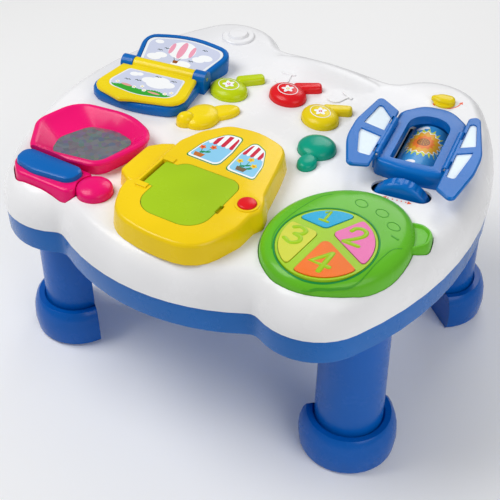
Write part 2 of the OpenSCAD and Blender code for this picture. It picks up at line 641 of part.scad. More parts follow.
module window_hole(d, z0, z1) {
    at_window() translate([-pocket_hw - d, opening_v[0] - 1 - d, z0])
        cube([2 * (pocket_hw + d), opening_v[1] - opening_v[0] + 1.5 + 2 * d, z1 - z0]);
}

module window_frame() color([0, 0.42, 0.72]) difference() {
    union() {
        at_window() loft([ring(outline(frame_corners, frame_radii, 0.6), top_z),
            ring(outline(frame_corners, frame_radii, 0), top_z + 2),
            ring(outline(frame_corners, frame_radii, 0.6), frame_top - 4),
            for (t = [30, 60, 90]) ring(outline(frame_corners, frame_radii, 0.6 + 4 * (1 - cos(t))),
                frame_top - 4 + 4 * sin(t))]);
        for (s = [-1, 1], e = [-1, 1]) at_window() {
            v = e * (shutter_barrel_l / 2 + gap) + (e < 0 ? -knuckle_l : 0);
            along_y(s * hinge_u, v, v + knuckle_l, shutter_axis_z, shutter_barrel_r);
            translate([s * hinge_u - shutter_barrel_r, v, top_z + 3])
                cube([2 * shutter_barrel_r, knuckle_l, shutter_axis_z - top_z - 3]);
        }
    }
    window_hole(0, top_z - 1, lip_z);
    at_window() translate([0, 0, lip_z - 1]) linear_extrude(window_h)
        polygon(outline([[-opening_hw, opening_v[0]], [opening_hw, opening_v[0]],
            [opening_hw, opening_v[1]], [-opening_hw, opening_v[1]]], [2, 2, opening_hw - 1, opening_hw - 1]));
    at_window() for (s = [-1, 1]) {
        along_y(s * hinge_u, -40, 40, shutter_axis_z, shutter_pin_r + fit);
        // saddle under the shutter's own barrel
        along_y(s * hinge_u, -shutter_barrel_l / 2 - gap, shutter_barrel_l / 2 + gap, shutter_axis_z,
            shutter_barrel_r + 0.5);
    }
}

module at_shutter(s) {
    at_window() translate([s * hinge_u, 0, shutter_axis_z]) rotate([0, s < 0 ? lean_left : -lean_right, 0]) children();
}

function reversed(p) = [for (i = [len(p) - 1 : -1 : 0]) p[i]];
function leaf_side(s, right, left) = s > 0 ? right : reversed([for (q = left) [-q[0], q[1]]]);
function leaf_path(s, d) = outline(leaf_side(s, leaf_right, leaf_left), s > 0 ? shutter_radii
    : reversed(shutter_radii), d, 5);
function pane_path(s, d) = outline(leaf_side(s, pane_right, pane_left), s > 0 ? pane_radii
    : reversed(pane_radii), d, 5);

module pane_shapes(s, d, z0, z1) difference() {
    bar = s > 0 ? bar_right : bar_left;
    translate([0, 0, z0]) linear_extrude(z1 - z0) polygon(pane_path(s, d));
    translate([s * bar[0], bar[1], z0 - 1]) rotate([0, 0, s * bar[2]])
        translate([-40, -bar[3] / 2 - d, 0]) cube([80, bar[3] + 2 * d, z1 - z0 + 2]);
}

module shutter(s) color([0, 0.42, 0.72]) at_shutter(s) difference() {
    union() {
        loft([for (q = [[1.2, -0.5], [0, -0.22], [0, 0.22], [1.2, 0.5]])
            ring(leaf_path(s, q[0]), q[1] * shutter_t)]);
        along_y(0, -shutter_barrel_l / 2, shutter_barrel_l / 2, 0, shutter_barrel_r);
        translate([s > 0 ? 0 : -4, -shutter_barrel_l / 2, -shutter_t / 2]) cube([4, shutter_barrel_l, shutter_t]);
    }
    for (e = [-1, 1]) translate([-shutter_barrel_r - 0.8, e > 0 ? shutter_barrel_l / 2
        : -shutter_barrel_l / 2 - knuckle_l - 2 * gap - 0.4, -shutter_t])
        cube([2 * shutter_barrel_r + 1.6, knuckle_l + 2 * gap + 0.4, 2 * shutter_t]);
    along_y(0, -40, 40, 0, shutter_pin_r + fit);
    pane_shapes(s, 0, -shutter_t, shutter_t);
}

module shutter_left() shutter(-1);
module shutter_right() shutter(1);

module panes(s) color("azure") at_shutter(s) pane_shapes(s, pane_gap, -pane_t / 2, pane_t / 2);
module panes_left() panes(-1);
module panes_right() panes(1);

module shutter_pins() color("silver") at_window() for (s = [-1, 1])
    along_y(s * hinge_u, -shutter_barrel_l / 2 - gap - knuckle_l, shutter_barrel_l / 2 + gap + knuckle_l,
        shutter_axis_z, shutter_pin_r);

module picture_drum() color("dodgerblue") at_window() difference() {
    along_y(0, drum_v[0], drum_v[1], drum_axis_z, drum_r);
    along_y(0, drum_v[0] + 3, drum_v[1] + 1, drum_axis_z, drum_r - 2.4);
    along_y(0, drum_v[0] - 1, drum_v[1], drum_axis_z, hub_r + gap / 2);
}

function ribbed(r, n, h) = [for (i = [0 : n - 1], q = [[0, -h], [0.3, 0], [0.7, 0], [0.99, -h]])
    (r + q[1]) * unit(360 * (i + q[0]) / n)];

module roller() color([0, 0.42, 0.72]) at_window() difference() {
    union() {
        intersection() {
            translate([0, roller_v, drum_axis_z]) rotate([-90, 0, 0]) linear_extrude(roller_w)
                polygon(ribbed(roller_r, rib_n, rib_h));
            // both rims of the roller are rounded off
            translate([0, roller_v, drum_axis_z]) rotate([-90, 0, 0]) rotate_extrude($fn = 96)
                polygon(concat([[0, 0]],
                [for (t = [0 : 15 : 90]) [roller_r + tiny - roller_crown * (1 - sin(t)), roller_crown * (1 - cos(t))]],
                [for (t = [90 : -15 : 0]) [roller_r + tiny - roller_crown * (1 - sin(t)),
                    roller_w - roller_crown * (1 - cos(t))]], [[0, roller_w]]));
        }
        along_y(0, roller_v, drum_v[1], drum_axis_z, hub_r);
        along_y(0, roller_v + roller_w - 1, drum_v[0], drum_axis_z, hub_r + 3);
    }
    along_y(0, roller_v - 1, drum_v[1] + 1, drum_axis_z, axle_r + fit);
}

module drum_axle() color("silver") at_window()
    along_y(0, bracket_v[0], bracket_v[1] + bracket_t, drum_axis_z, axle_r);

knob_r = 11;
knob_shaft_r = 4;
module turn_knob() color([0.94, 0.84, 0.04]) {
    translate([knob_c[0], knob_c[1], 0]) {
        translate([0, 0, top_z + 0.2]) cylinder(h = 2, r = knob_r);
        translate([0, 0, ceiling_z - 3]) cylinder(h = crown_wall + 5, r = knob_shaft_r);
        translate([0, 0, ceiling_z - 3]) cylinder(h = 2.8, r = knob_shaft_r + 3);
        rotate([0, 0, 10]) loft([for (q = [[0, 1.4], [0.3, 4.6], [1.4, 5.9], [3, 6.5]])
            ring(outline([[-15, -0.5], [-4, -7], [8.3, -7.2], [11.6, 0.2], [8.2, 6.9], [-4, 7.3]],
                [2, 9, 6, 8, 6, 9], q[0], 4), top_z + q[1])]);
    }
}

// ---- note keys -----------------------------------------------------------------------------------------

plunger_z = ceiling_z - 9;
head_rx = 20.5;
head_ry = 17;
note_places = [[-66, 57, -12], [-11, 80, -20], [36, 61, -25]];
stem_places = [[-64, 77.5, 42], [-8, 95.5, 32], [36, 76, 25]];
stem_corners = [[-5, -6.5], [24, -6], [25, 6], [-5, 6.5]];
stem_radii = [4, 4, 4, 4];
spoon_c = [-64, 2];
teal_c = [57.5, 15];

function head_path(q, d) = ellipse_path([q[0], q[1]], head_rx, head_ry, 36, q[2], d);
function stem_path(q, d) = moved(outline(stem_corners, stem_radii, d, 3), [q[0], q[1]], q[2]);

// A domed key: straight sides through the crown, then a quarter-round crest over the given path function's rings.
function dome_rings(rings_at, z0, z1, crest, reach) = concat([rings_at(0, z0), rings_at(0, z1)],
    [for (t = [18, 36, 54, 72, 86]) rings_at(reach * (1 - cos(t)), z1 + (crest - z1) * sin(t))]);

straight_z = top_z + key_travel + 0.3;
module key_stack(paths, crests, reaches) {
    for (k = [0 : len(paths) - 1]) loft(dome_rings(function (d, z) ring(paths[k](d), z), flange_z + 1,
        straight_z, top_z + crests[k], reaches[k]));
}

module plunger(c) translate([c[0], c[1], plunger_z]) cylinder(h = flange_z + 1 - plunger_z, r = plunger_r);

module note_key(k, hue) color(hue) {
    head = note_places[k];
    stem = stem_places[k];
    key_stack([function (d) head_path(head, d), function (d) stem_path(stem, d)], [key_h, key_h - 3], [13, 3]);
    translate([0, 0, flange_z]) linear_extrude(key_flange_t) polygon(head_path(head, -key_flange));
    translate([0, 0, flange_z]) linear_extrude(key_flange_t) polygon(stem_path(stem, -key_flange));
    plunger(head);
}

module note_hole(k) translate([0, 0, ceiling_z - 1]) {
    linear_extrude(crown_wall + 9) polygon(head_path(note_places[k], -gap));
    linear_extrude(crown_wall + 9) polygon(stem_path(stem_places[k], -gap));
}

module note_key_green() note_key(0, [0.75, 0.82, 0]);
module note_key_red() note_key(1, "red");
module note_key_yellow() note_key(2, [0.94, 0.84, 0.04]);

spoon_parts = [[1, 0.5, 17.2, 20, 0], [13, 17, 19, 10.5, 50], [-8, -13.5, 9.5, 8.5, 45]];
teal_parts = [[0, 0, 18.5, 17.5, 0], [3.5, -25.5, 9, 11.5, 8]];
function part_path(c, p, d) = ellipse_path(c + [p[0], p[1]], p[2], p[3], 30, p[4], d);

module lobed_key(c, parts, crests, reaches) {
    key_stack([for (p = parts) function (d) part_path(c, p, d)], crests, reaches);
    for (p = parts) translate([0, 0, flange_z]) linear_extrude(key_flange_t) polygon(part_path(c, p, -key_flange));
    plunger(c);
}

module lobed_hole(c, parts) {
    for (p = parts) translate([0, 0, ceiling_z - 1]) linear_extrude(crown_wall + 9) polygon(part_path(c, p, -gap));
}

module spoon_key() color([0.94, 0.82, 0.04])
    lobed_key(spoon_c, spoon_parts, [key_h - 1, key_h - 4, key_h + 2], [13, 6, 7]);

module teal_key() color([0, 0.61, 0.51])
    lobed_key(teal_c, teal_parts, [key_h, key_h - 3], [13, 6]);

// ---- crown -----------------------------------------------------------------------------------------------

case_posts = [[0, -hd + 50], [-hw + 72, -75], [hw - 117, -60], [-hw + 72, 100], [hw - 137, 140], [-30, 140],
    [hw - 26, 20]];
case_post_r = 5;
case_screw_r = 1.9;
board_x = [-98, 82];
board_y = [-28, 104];
board_t = 1.6;
switch_h = 3;
board_top = plunger_z - key_travel - gap - switch_h;
board_posts = [[-93, -23], [76, -20], [-93, 98], [76, 98]];
board_post_r = 3.6;
board_screw_r = 1.2;

// The raised roll along the back edge: a bowed ridge that narrows and fades out at both ends.
roll_span = 10.4;
roll_n = 18;
function roll_ring(i) = let (a = 90 + roll_span - 2 * roll_span * i / roll_n, k = sqrt(sin(180 * i / roll_n)),
    crest = back_bulge_r - 30)
    [for (q = [[-23, -0.8], [-17, 2.8 * k - 0.5], [-8, 5.4 * k - 0.4], [0, 6.4 * k - 0.4], [7, 5 * k - 0.5],
        [13, 1.6 * k - 1.6 * k * k - 0.6], [19.5, -0.8 - 4.8 * k * k],
        [13, -1.6 - 1.2 * k * k], [0, -2.2], [-19, -2]])
        let (p = back_bulge + (crest + q[0] * (0.3 + 0.7 * k)) * unit(a)) [p[0], p[1], top_z + q[1]]];

module drum_bracket(v) at_window() difference() {
    union() {
        translate([-8, v, drum_axis_z]) cube([16, bracket_t, ceiling_z + 1 - drum_axis_z]);
        along_y(0, v, v + bracket_t, drum_axis_z, 8);
    }
    along_y(0, v - 1, v + bracket_t + 1, drum_axis_z, axle_r + fit);
}

relief_h = 1.2;
module relief_note(p, turn) translate([p[0], p[1], top_z - tiny]) rotate([0, 0, turn]) linear_extrude(relief_h) {
    polygon(ellipse_path([0, 0], 7.5, 5.6, 20, 20));
    polygon([[4.6, 0], [7.2, 0], [7.2, 16], [4.6, 16]]);
    polygon(outline([[-4, 14.6], [11, 12], [11, 15.5], [-4, 18.1]], [1.2, 1.2, 1.2, 1.2], 0, 3));
}

module tub_seat(d, z0, z1) {
    translate([0, 0, z0]) linear_extrude(z1 - z0) polygon(outline(tub_corners, tub_radii, 4 - d));
    translate([0, 0, z0]) linear_extrude(z1 - z0) polygon(outline(base_corners, base_radii, -d));
}

module pad_seat(d, z0, z1) {
    translate([0, 0, z0]) linear_extrude(z1 - z0) polygon(ellipse_path(pad_c, pad_rx, pad_ry, pad_n, pad_turn, -d));
    translate([0, 0, z0]) linear_extrude(z1 - z0) polygon(ear_path(-d));
}

module crown_cavity() difference() {
    loft(crown_rings(crown_wall, crown_wall, 4));
    pad_seat(gap + pad_seat_t, pad_seat_z - pad_seat_t, top_z);
    tub_seat(gap + pad_seat_t, tub_seat_z - pad_seat_t, top_z);
}

module top_shell() color("white") difference() {
    union() {
        difference() {
            loft(crown_rings(0, 0, 7));
            translate([0, 0, -tiny]) crown_cavity();
        }
        loft([for (i = [roll_n : -1 : 0]) roll_ring(i)]);
        translate([boss_c[0], boss_c[1], top_z - 1]) rotate_extrude()
            polygon([[0, 0], [17.5, 0], [17.5, 2.6], [16.5, 3.6], [11, 3.8], [10.4, 5.6], [9.4, 6.6], [0, 7.4]]);
        relief_note([-31, 103], 15);
        relief_note([31, 100], -20);
        for (q = case_posts) translate([q[0], q[1], case_post_z]) cylinder(h = ceiling_z + 0.5 - case_post_z,
            r = case_post_r);
        for (q = board_posts) translate([q[0], q[1], board_top]) cylinder(h = ceiling_z + 0.5 - board_top,
            r = board_post_r);
        for (v = bracket_v) drum_bracket(v);
    }
    pad_seat(gap, pad_seat_z, top_z + 10);
    tub_seat(gap, tub_seat_z, top_z + 10);
    // openings under the pods for wires and plungers
    translate([disc_c[0], disc_c[1], pad_seat_z - 4]) cylinder(h = 8, r = 10);
    for (s = [-1, 1]) translate([bar_c[0] + s * plunger_x, bar_c[1], tub_seat_z - 4]) cylinder(h = 8, r = 5);
    translate([red_c[0] - 24, red_c[1] + 10, ceiling_z - 1]) cylinder(h = crown_wall + 2, r = 5);
    window_hole(0, ceiling_z - 1, top_z + 1);
    at_window() translate([0, slot_c, ceiling_z - 4]) linear_extrude(crown_wall + 8)
        polygon(outline([[-slot_hl, -slot_hw], [slot_hl, -slot_hw], [slot_hl, slot_hw], [-slot_hl, slot_hw]],
            [slot_hw - 1, slot_hw - 1, slot_hw - 1, slot_hw - 1]));
    translate([dome_c[0], dome_c[1], ceiling_z - 1]) cylinder(h = crown_wall + 2, r = dome_r + gap);
    dome_well(2 * gap, flange_z - key_travel - 2 * gap, ceiling_z);
    translate([knob_c[0], knob_c[1], ceiling_z - 1]) cylinder(h = crown_wall + 2, r = knob_shaft_r + fit);
    for (k = [0 : 2]) note_hole(k);
    lobed_hole(spoon_c, spoon_parts);
    lobed_hole(teal_c, teal_parts);
    for (q = case_posts) translate([q[0], q[1], case_post_z - 1]) cylinder(h = 19, r = case_screw_r + fit);
    for (q = board_posts) translate([q[0], q[1], board_top - 1]) cylinder(h = 9, r = board_screw_r + fit);
}

// ---- tray, battery box and switch ------------------------------------------------------------------------

floor_t = 3;
case_boss_h = 8;
case_post_z = tray_z + case_boss_h + gap;
screw_head_r = 3.8;
screw_head_h = 2.6;
screw_depth = 3.4;
leg_places = [["leg_front_left", [-hw + 59, -hd + 102.5], 230], ["leg_front_right", [hw - 60, -hd + 102.5], 310],
    ["leg_back_left", [-hw + 62, hd - 72], 130], ["leg_back_right", [hw - 62, hd - 72], 50]];
spigot_h = 20;
box_c = [0, 30];
box_x = 60;
box_y = 56;
box_wall = 2.4;
box_h = 20;
door_play = 0.4;
switch_c = [62, 30];
switch_travel = 5;

// A D-shaped outline that opens toward +X: an arc and a straight chord.
function d_path(r, flat) = let (a = 180 - acos(flat / r))
    [for (i = [0 : 22]) r * unit(-a + 2 * a * i / 22)];

module bottom_shell() color([0, 0.38, 0.67]) difference() {
    union() {
        loft([ring(table_outline(rim_step + 2.6), tray_z), ring(table_outline(rim_step + 0.8), tray_z + 1),
            ring(table_outline(rim_step + 0.3), tray_z + 3), ring(table_outline(rim_step), seam_z),
            ring(table_outline(rim_step + tray_wall), seam_z),
            ring(table_outline(rim_step + tray_wall + 0.6), tray_z + floor_t)]);
        for (q = case_posts) translate([q[0], q[1], tray_z]) cylinder(h = case_boss_h, r = 7);
        for (l = leg_places) translate([l[1][0], l[1][1], tray_z - spigot_h]) rotate([0, 0, l[2]])
            linear_extrude(spigot_h + 1) polygon(d_path(leg_r - leg_wall - gap, leg_flat - leg_wall - gap));
        translate([box_c[0] - box_x / 2 - box_wall, box_c[1] - box_y / 2 - box_wall, tray_z])
            cube([box_x + 2 * box_wall, box_y + 2 * box_wall, box_h + box_wall]);
    }
    for (l = leg_places) translate([l[1][0], l[1][1], tray_z - spigot_h - 1]) rotate([0, 0, l[2]])
        linear_extrude(spigot_h + 1) polygon(d_path(leg_r - leg_wall - gap - 3, leg_flat - leg_wall - gap - 3));
    for (q = case_posts) {
        translate([q[0], q[1], tray_z - 1]) cylinder(h = screw_depth + 1, r = screw_head_r + gap);
        translate([q[0], q[1], tray_z]) cylinder(h = case_boss_h + 1, r = case_screw_r + gap);
    }
    translate([box_c[0] - box_x / 2, box_c[1] - box_y / 2, tray_z - 1]) cube([box_x, box_y, box_h + 1]);
    // rebate for the battery door
    translate([box_c[0] - box_x / 2 - 1.2, box_c[1] - box_y / 2 - 1.2, tray_z - 1])
        cube([box_x + 2.4, box_y + 2.4, 1 + 1.6]);
    translate([switch_c[0] - 3 - switch_travel / 2 - 0.5, switch_c[1] - 3, tray_z - 1])
        cube([6 + switch_travel + 1, 6, floor_t + 2]);
}

module leg(k) color([0.04, 0.33, 0.65]) translate([leg_places[k][1][0], leg_places[k][1][1], 0])
    rotate([0, 0, leg_places[k][2]]) loft([for (q = [
        [shoe_r - 4, 0], [shoe_r - 1.4, 3], [shoe_r, shoe_h * 0.37], [shoe_r - 1, shoe_h * 0.68],
        [shoe_r - 4, shoe_h * 0.92], [shoe_r - 7, shoe_h], [leg_r + leg_flare + 1.8, shoe_h - 0.6],
        [leg_r + leg_flare, shoe_h - 3], [leg_r + leg_flare * 0.9, shoe_h + 8], [leg_r, tray_z]])
            ring(d_path(q[0], leg_flat), q[1]),
        ring(d_path(leg_r - leg_wall, leg_flat - leg_wall), tray_z),
        ring(d_path(leg_r - leg_wall, leg_flat - leg_wall), 20)]);

module leg_front_left() leg(0);
module leg_front_right() leg(1);
module leg_back_left() leg(2);
module leg_back_right() leg(3);

door_thick = 1.6;
module battery_door() color([0, 0.38, 0.67]) translate([box_c[0] - box_x / 2 - 1.2 + door_play,
    box_c[1] - box_y / 2 - 1.2 + door_play, tray_z]) difference() {
    cube([box_x + 2.4 - 2 * door_play, box_y + 2.4 - 2 * door_play, door_thick]);
    // finger ribs
    for (i = [0 : 4]) translate([box_x / 2 - 9, 6 + 3 * i, -0.1]) cube([20, 1.2, 0.7]);
}

cell_r = 7.1;
cell_l = 50;
cell_z = tray_z + door_thick + cell_r + 0.3;
cells = [-1, 0, 1];
cell_pitch = 17;
module batteries() color("dimgray") for (k = cells)
    translate([box_c[0], box_c[1] + k * cell_pitch, cell_z]) rotate([0, 90, 0]) rotate_extrude()
        polygon([[0, -cell_l / 2 + 0.4], [cell_r - 1, -cell_l / 2 + 0.4], [cell_r, -cell_l / 2 + 1.4],
            [cell_r, cell_l / 2 - 2], [cell_r - 1, cell_l / 2 - 1], [2.8, cell_l / 2 - 1], [2.8, cell_l / 2],
            [0, cell_l / 2]]);

module battery_contacts() color("silver") for (k = cells, s = [-1, 1]) {
    x = box_c[0] + s * (box_x / 2 - 0.2);
    translate([s > 0 ? x - 0.4 : x, box_c[1] + k * cell_pitch - 5, cell_z - 5]) cube([0.4, 10, 10]);
    translate([s > 0 ? box_c[0] + cell_l / 2 + 0.2 : x, box_c[1] + k * cell_pitch, cell_z]) rotate([0, 90, 0])
        cylinder(h = box_x / 2 - 0.2 - cell_l / 2 - (s > 0 ? 0.2 : -0.2), r = 3.2);
}

module power_switch() color("dimgray") {
    translate([switch_c[0] - 3 - switch_travel / 2, switch_c[1] - 3 + gap, tray_z - 1.2])
        cube([6, 6 - 2 * gap, floor_t + 1.6]);
    translate([switch_c[0] - 9, switch_c[1] - 6, tray_z + floor_t + 0.2]) cube([13, 12, 1.8]);
}

// ---- electronics and fasteners -----------------------------------------------------------------------------

module circuit_board() color("darkgreen") difference() {
    translate([board_x[0], board_y[0], board_top - board_t])
        cube([board_x[1] - board_x[0], board_y[1] - board_y[0], board_t]);
    for (q = board_posts) translate([q[0], q[1], board_top - board_t - 1])
        cylinder(h = board_t + 2, r = board_screw_r + gap);
}

module switch_pad(c, z, h) translate([c[0], c[1], z]) cylinder(h = h, r1 = 5, r2 = 3.4);

module switch_pads() color("gray") {
    for (c = [note_places[0], note_places[1], note_places[2], spoon_c, teal_c]) switch_pad(c, board_top, switch_h);
    for (a = key_spans) switch_pad(key_middle(a), pad_board_z + pad_board_t, pad_switch_h);
    switch_pad(red_c, top_z, red_flange_z - red_travel - gap - top_z);
}

speaker_z = ceiling_z - 0.03;
module speaker() color("dimgray") translate([boss_c[0], boss_c[1], 0]) rotate_extrude()
    polygon([[0, ceiling_z - 16], [9, ceiling_z - 16], [9, ceiling_z - 9], [12, ceiling_z - 9],
        [19, ceiling_z - 2.4], [20, ceiling_z - 2.4], [20, speaker_z], [17, speaker_z], [8, ceiling_z - 4],
        [0, ceiling_z - 4]]);

module case_screws() color("silver") for (q = case_posts) translate([q[0], q[1], 0]) difference() {
    union() {
        translate([0, 0, tray_z + screw_depth - screw_head_h]) cylinder(h = screw_head_h, r = screw_head_r);
        translate([0, 0, tray_z + screw_depth - 1]) cylinder(h = 19, r = case_screw_r);
    }
    translate([-2.5, -0.5, tray_z]) cube([5, 1, screw_depth - 1.4]);
    translate([-0.5, -2.5, tray_z]) cube([1, 5, screw_depth - 1.4]);
}

module board_screws() color("silver") for (q = board_posts) translate([q[0], q[1], 0]) {
    translate([0, 0, board_top - board_t - 1.8]) cylinder(h = 1.8, r = 2.8);
    translate([0, 0, board_top - board_t - 1]) cylinder(h = 7, r = board_screw_r);
}

top_shell();
bottom_shell();
leg_front_left();
leg_front_right();
leg_back_left();
leg_back_right();
house_pod();
door_flap();
door_pin();
red_button();
house_labels();
pad_pod();
pad_disc();
key_one();
key_two();
key_three();
key_four();
pad_board();
tub_pod();
tub_mirror();
press_bar();
dome_button();
book_base();
book_page();
book_pin();
page_card();
back_card();
window_frame();
shutter_left();
shutter_right();
panes_left();
panes_right();
shutter_pins();
picture_drum();
roller();
drum_axle();
turn_knob();
note_key_green();
note_key_red();
note_key_yellow();
spoon_key();
teal_key();
circuit_board();
switch_pads();
speaker();
battery_door();
batteries();
battery_contacts();
power_switch();
case_screws();
board_screws();
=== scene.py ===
# %% [markdown]
# # A musical activity table, dressed in Blender
# The solids of the table come from its CAD source and are loaded as they are. This lesson adds what a
# mould and a printer add: soft edges, glossy coloured plastic, printed pictures, raised numerals and a
# mirror sheet. Every new piece is a surface computed from a formula, so its size can be read from the
# code.

# %% Load the table
import json
import math

import bpy
import numpy as np
from mathutils import Matrix, Vector


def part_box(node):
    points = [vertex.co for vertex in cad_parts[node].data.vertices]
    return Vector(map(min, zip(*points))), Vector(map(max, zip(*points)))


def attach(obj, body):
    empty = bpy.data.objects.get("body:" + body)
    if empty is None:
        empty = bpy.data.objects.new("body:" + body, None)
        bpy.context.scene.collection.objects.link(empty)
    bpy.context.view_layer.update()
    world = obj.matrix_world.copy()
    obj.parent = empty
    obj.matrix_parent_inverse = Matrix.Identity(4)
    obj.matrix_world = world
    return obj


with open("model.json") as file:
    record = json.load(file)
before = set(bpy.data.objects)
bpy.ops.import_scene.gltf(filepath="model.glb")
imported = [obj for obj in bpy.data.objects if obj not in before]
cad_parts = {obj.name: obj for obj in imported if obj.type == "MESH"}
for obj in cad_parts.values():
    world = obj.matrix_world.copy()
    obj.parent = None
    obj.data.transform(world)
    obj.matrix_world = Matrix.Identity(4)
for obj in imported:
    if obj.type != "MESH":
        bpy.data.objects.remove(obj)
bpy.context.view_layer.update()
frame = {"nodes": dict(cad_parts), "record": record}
NODES = frame["nodes"]
MM = 0.001

# %% [markdown]
# ## Where the pieces are
# The places below are the ones that the CAD source uses, in millimetres, and heights are read from the
# solids. A printed picture or a numeral is drawn flat in the millimetres of its own piece, and then laid
# on that piece by a small function. Drawing in the millimetres of the whole table would hide how big a
# picture is.

# %% Places on the table
TOP = 234.0
DISC = np.array([135.0, -112.0])
PAD = np.array([136.5, -94.0])
WINDOW, WINDOW_TURN = np.array([145.0, 48.0]), 8.4
BOOK, BOOK_TURN = np.array([-128.0, 32.0]), 8.0
TINY = 1e-6


def heights(node):
    """The heights of a node's lowest and highest point in mm, to a tenth."""
    return [round(float(corner[2]) / MM, 1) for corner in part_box(node)]


def turned(points, angle, centre=(0.0, 0.0)):
    """Points (n, 2) turned by angle degrees about the origin, then moved to centre."""
    c, s = math.cos(math.radians(angle)), math.sin(math.radians(angle))
    return np.asarray(points, float) @ np.array([[c, s], [-s, c]]) + centre


def flat(centre, angle, z):
    """A map from flat drawing points to points in space: a turn, a move and one height."""
    def place(points):
        plan = turned(points, angle, centre)
        return np.column_stack([plan, np.full(len(plan), z)])
    return place


print("crown at", TOP, "mm, highest points of the solids at", max(heights(node)[1] for node in NODES), "mm")

# %% [markdown]
# ## Building meshes from arrays
# A piece is a list of points and a list of faces. They could be added one by one with bmesh, but Blender
# copies whole arrays at once with foreach_set, which is quick and keeps the code free of loops over
# points. All pieces are made in millimetres and scaled once, here.

# %% Piece maker


def piece(name, points, faces, material, body="table"):
    """One object from points in mm (n, 3) and faces as arrays of point numbers; it rides on a body."""
    groups = faces if isinstance(faces, list) else [faces]
    loops = np.concatenate([g.ravel() for g in groups])
    sizes = np.concatenate([np.full(len(g), g.shape[1]) for g in groups])
    starts = np.concatenate([[0], np.cumsum(sizes)[:-1]])
    mesh = bpy.data.meshes.new(name)
    mesh.vertices.add(len(points))
    mesh.vertices.foreach_set("co", (np.asarray(points, float) * MM).ravel())
    mesh.loops.add(len(loops))
    mesh.loops.foreach_set("vertex_index", loops.astype(np.int32))
    mesh.polygons.add(len(sizes))
    mesh.polygons.foreach_set("loop_start", starts.astype(np.int32))
    mesh.polygons.foreach_set("use_smooth", np.full(len(sizes), True))
    mesh.update(calc_edges=True)
    mesh.validate()
    obj = bpy.data.objects.new(name, mesh)
    obj.data.materials.append(material)
    bpy.context.scene.collection.objects.link(obj)
    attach(obj, body)
    return obj


def grid_faces(rows, cols, wrap_rows=False, wrap_cols=False, start=0):
    """Quads of a grid of points, row after row; either direction may close on itself."""
    i = np.arange(rows if wrap_rows else rows - 1)[:, None]
    j = np.arange(cols if wrap_cols else cols - 1)[None, :]
    a, b = i * cols + j, i * cols + (j + 1) % cols
    c, d = (i + 1) % rows * cols + (j + 1) % cols, (i + 1) % rows * cols + j
    return np.stack([a, b, c, d], -1).reshape(-1, 4) + start


print("a grid of 3 by 4 points has", len(grid_faces(3, 4)), "quads")

# %% [markdown]
# ## Flat outlines
# Moulded and printed shapes rarely have sharp corners. A curve object could draw them, but then each
# picture would need handles set by hand. Here the outline of each is given by a few corners and a radius
# for every corner: the arc's centre lies on the corner's bisector, at radius / sin(half angle).

# %% Outlines


def rounded(corners, radii, steps=6):
    """A closed outline: each corner becomes an arc of its own radius, sampled at steps + 1 points."""
    p = np.asarray(corners, float)
    radii = np.broadcast_to(np.asarray(radii, float), (len(p),))[:, None]
    back, ahead = np.roll(p, 1, 0) - p, np.roll(p, -1, 0) - p
    u = back / np.linalg.norm(back, axis=1, keepdims=True)
    v = ahead / np.linalg.norm(ahead, axis=1, keepdims=True)
    half = np.arccos(np.clip((u * v).sum(1, keepdims=True), -1, 1)) / 2
    w = (u + v) / np.linalg.norm(u + v, axis=1, keepdims=True)
    centre = p + w * radii / np.sin(half)
    start = np.arctan2(*(p + u * radii / np.tan(half) - centre).T[::-1])
    end = np.arctan2(*(p + v * radii / np.tan(half) - centre).T[::-1])
    sweep = (end - start + np.pi) % (2 * np.pi) - np.pi
    angle = start[:, None] + sweep[:, None] * np.linspace(0, 1, steps + 1)
    arcs = centre[:, None, :] + radii[:, :, None] * np.stack([np.cos(angle), np.sin(angle)], -1)
    return arcs.reshape(-1, 2)


def oval(centre, rx, ry=None, angle=0.0, count=32):
    """A closed oval: centre plus rx cos t along its first axis and ry sin t along its second."""
    t = np.linspace(0, 2 * np.pi, count, endpoint=False)
    return turned(np.column_stack([rx * np.cos(t), (ry or rx) * np.sin(t)]), angle, centre)


def petals(centre, reach, count, depth=0.35, angle=0.0, points=120):
    """A blossom outline: its radius swings between reach and reach * (1 - depth), count times round."""
    t = np.linspace(0, 2 * np.pi, points, endpoint=False)
    r = reach * (1 - depth * (0.5 - 0.5 * np.cos(count * t)))
    return turned(np.column_stack([r * np.cos(t), r * np.sin(t)]), angle, centre)


def spikes(centre, inner_reach, outer_reach, count):
    """A star outline: points alternate between the outer and the inner radius."""
    t = np.linspace(0, 2 * np.pi, 2 * count, endpoint=False)
    r = np.where(np.arange(2 * count) % 2, inner_reach, outer_reach)
    return np.column_stack([r * np.cos(t), r * np.sin(t)]) + centre


print("a square with round corners has", len(rounded([(0, 0), (9, 0), (9, 9), (0, 9)], 2)), "points")

# %% [markdown]
# ## Printed layers
# A print is ink a few hundredths of a millimetre thick. It could be a picture texture, but that needs a
# file, and a shader pattern would be hard to place. Each ink is modelled as a thin skin that lies just
# above the piece. The skin is a fan of rings from the middle of its outline outward, so it can follow a
# curved drum or a domed key: the same flat drawing is laid on by whatever place function the piece needs.
# Where outlines of one ink overlap, each lies a little higher than the one before, so that no two faces
# share a plane.

# %% Ink maker
OVERLAP_STEP = 0.002


def surface_normal(place, points, step=0.05):
    """Unit normals of a place function at flat points: the cross product of its two small steps."""
    base = place(points)
    across = place(points + [step, 0]) - base
    along = place(points + [0, step]) - base
    normal = np.cross(across, along)
    return normal / np.linalg.norm(normal, axis=1, keepdims=True)


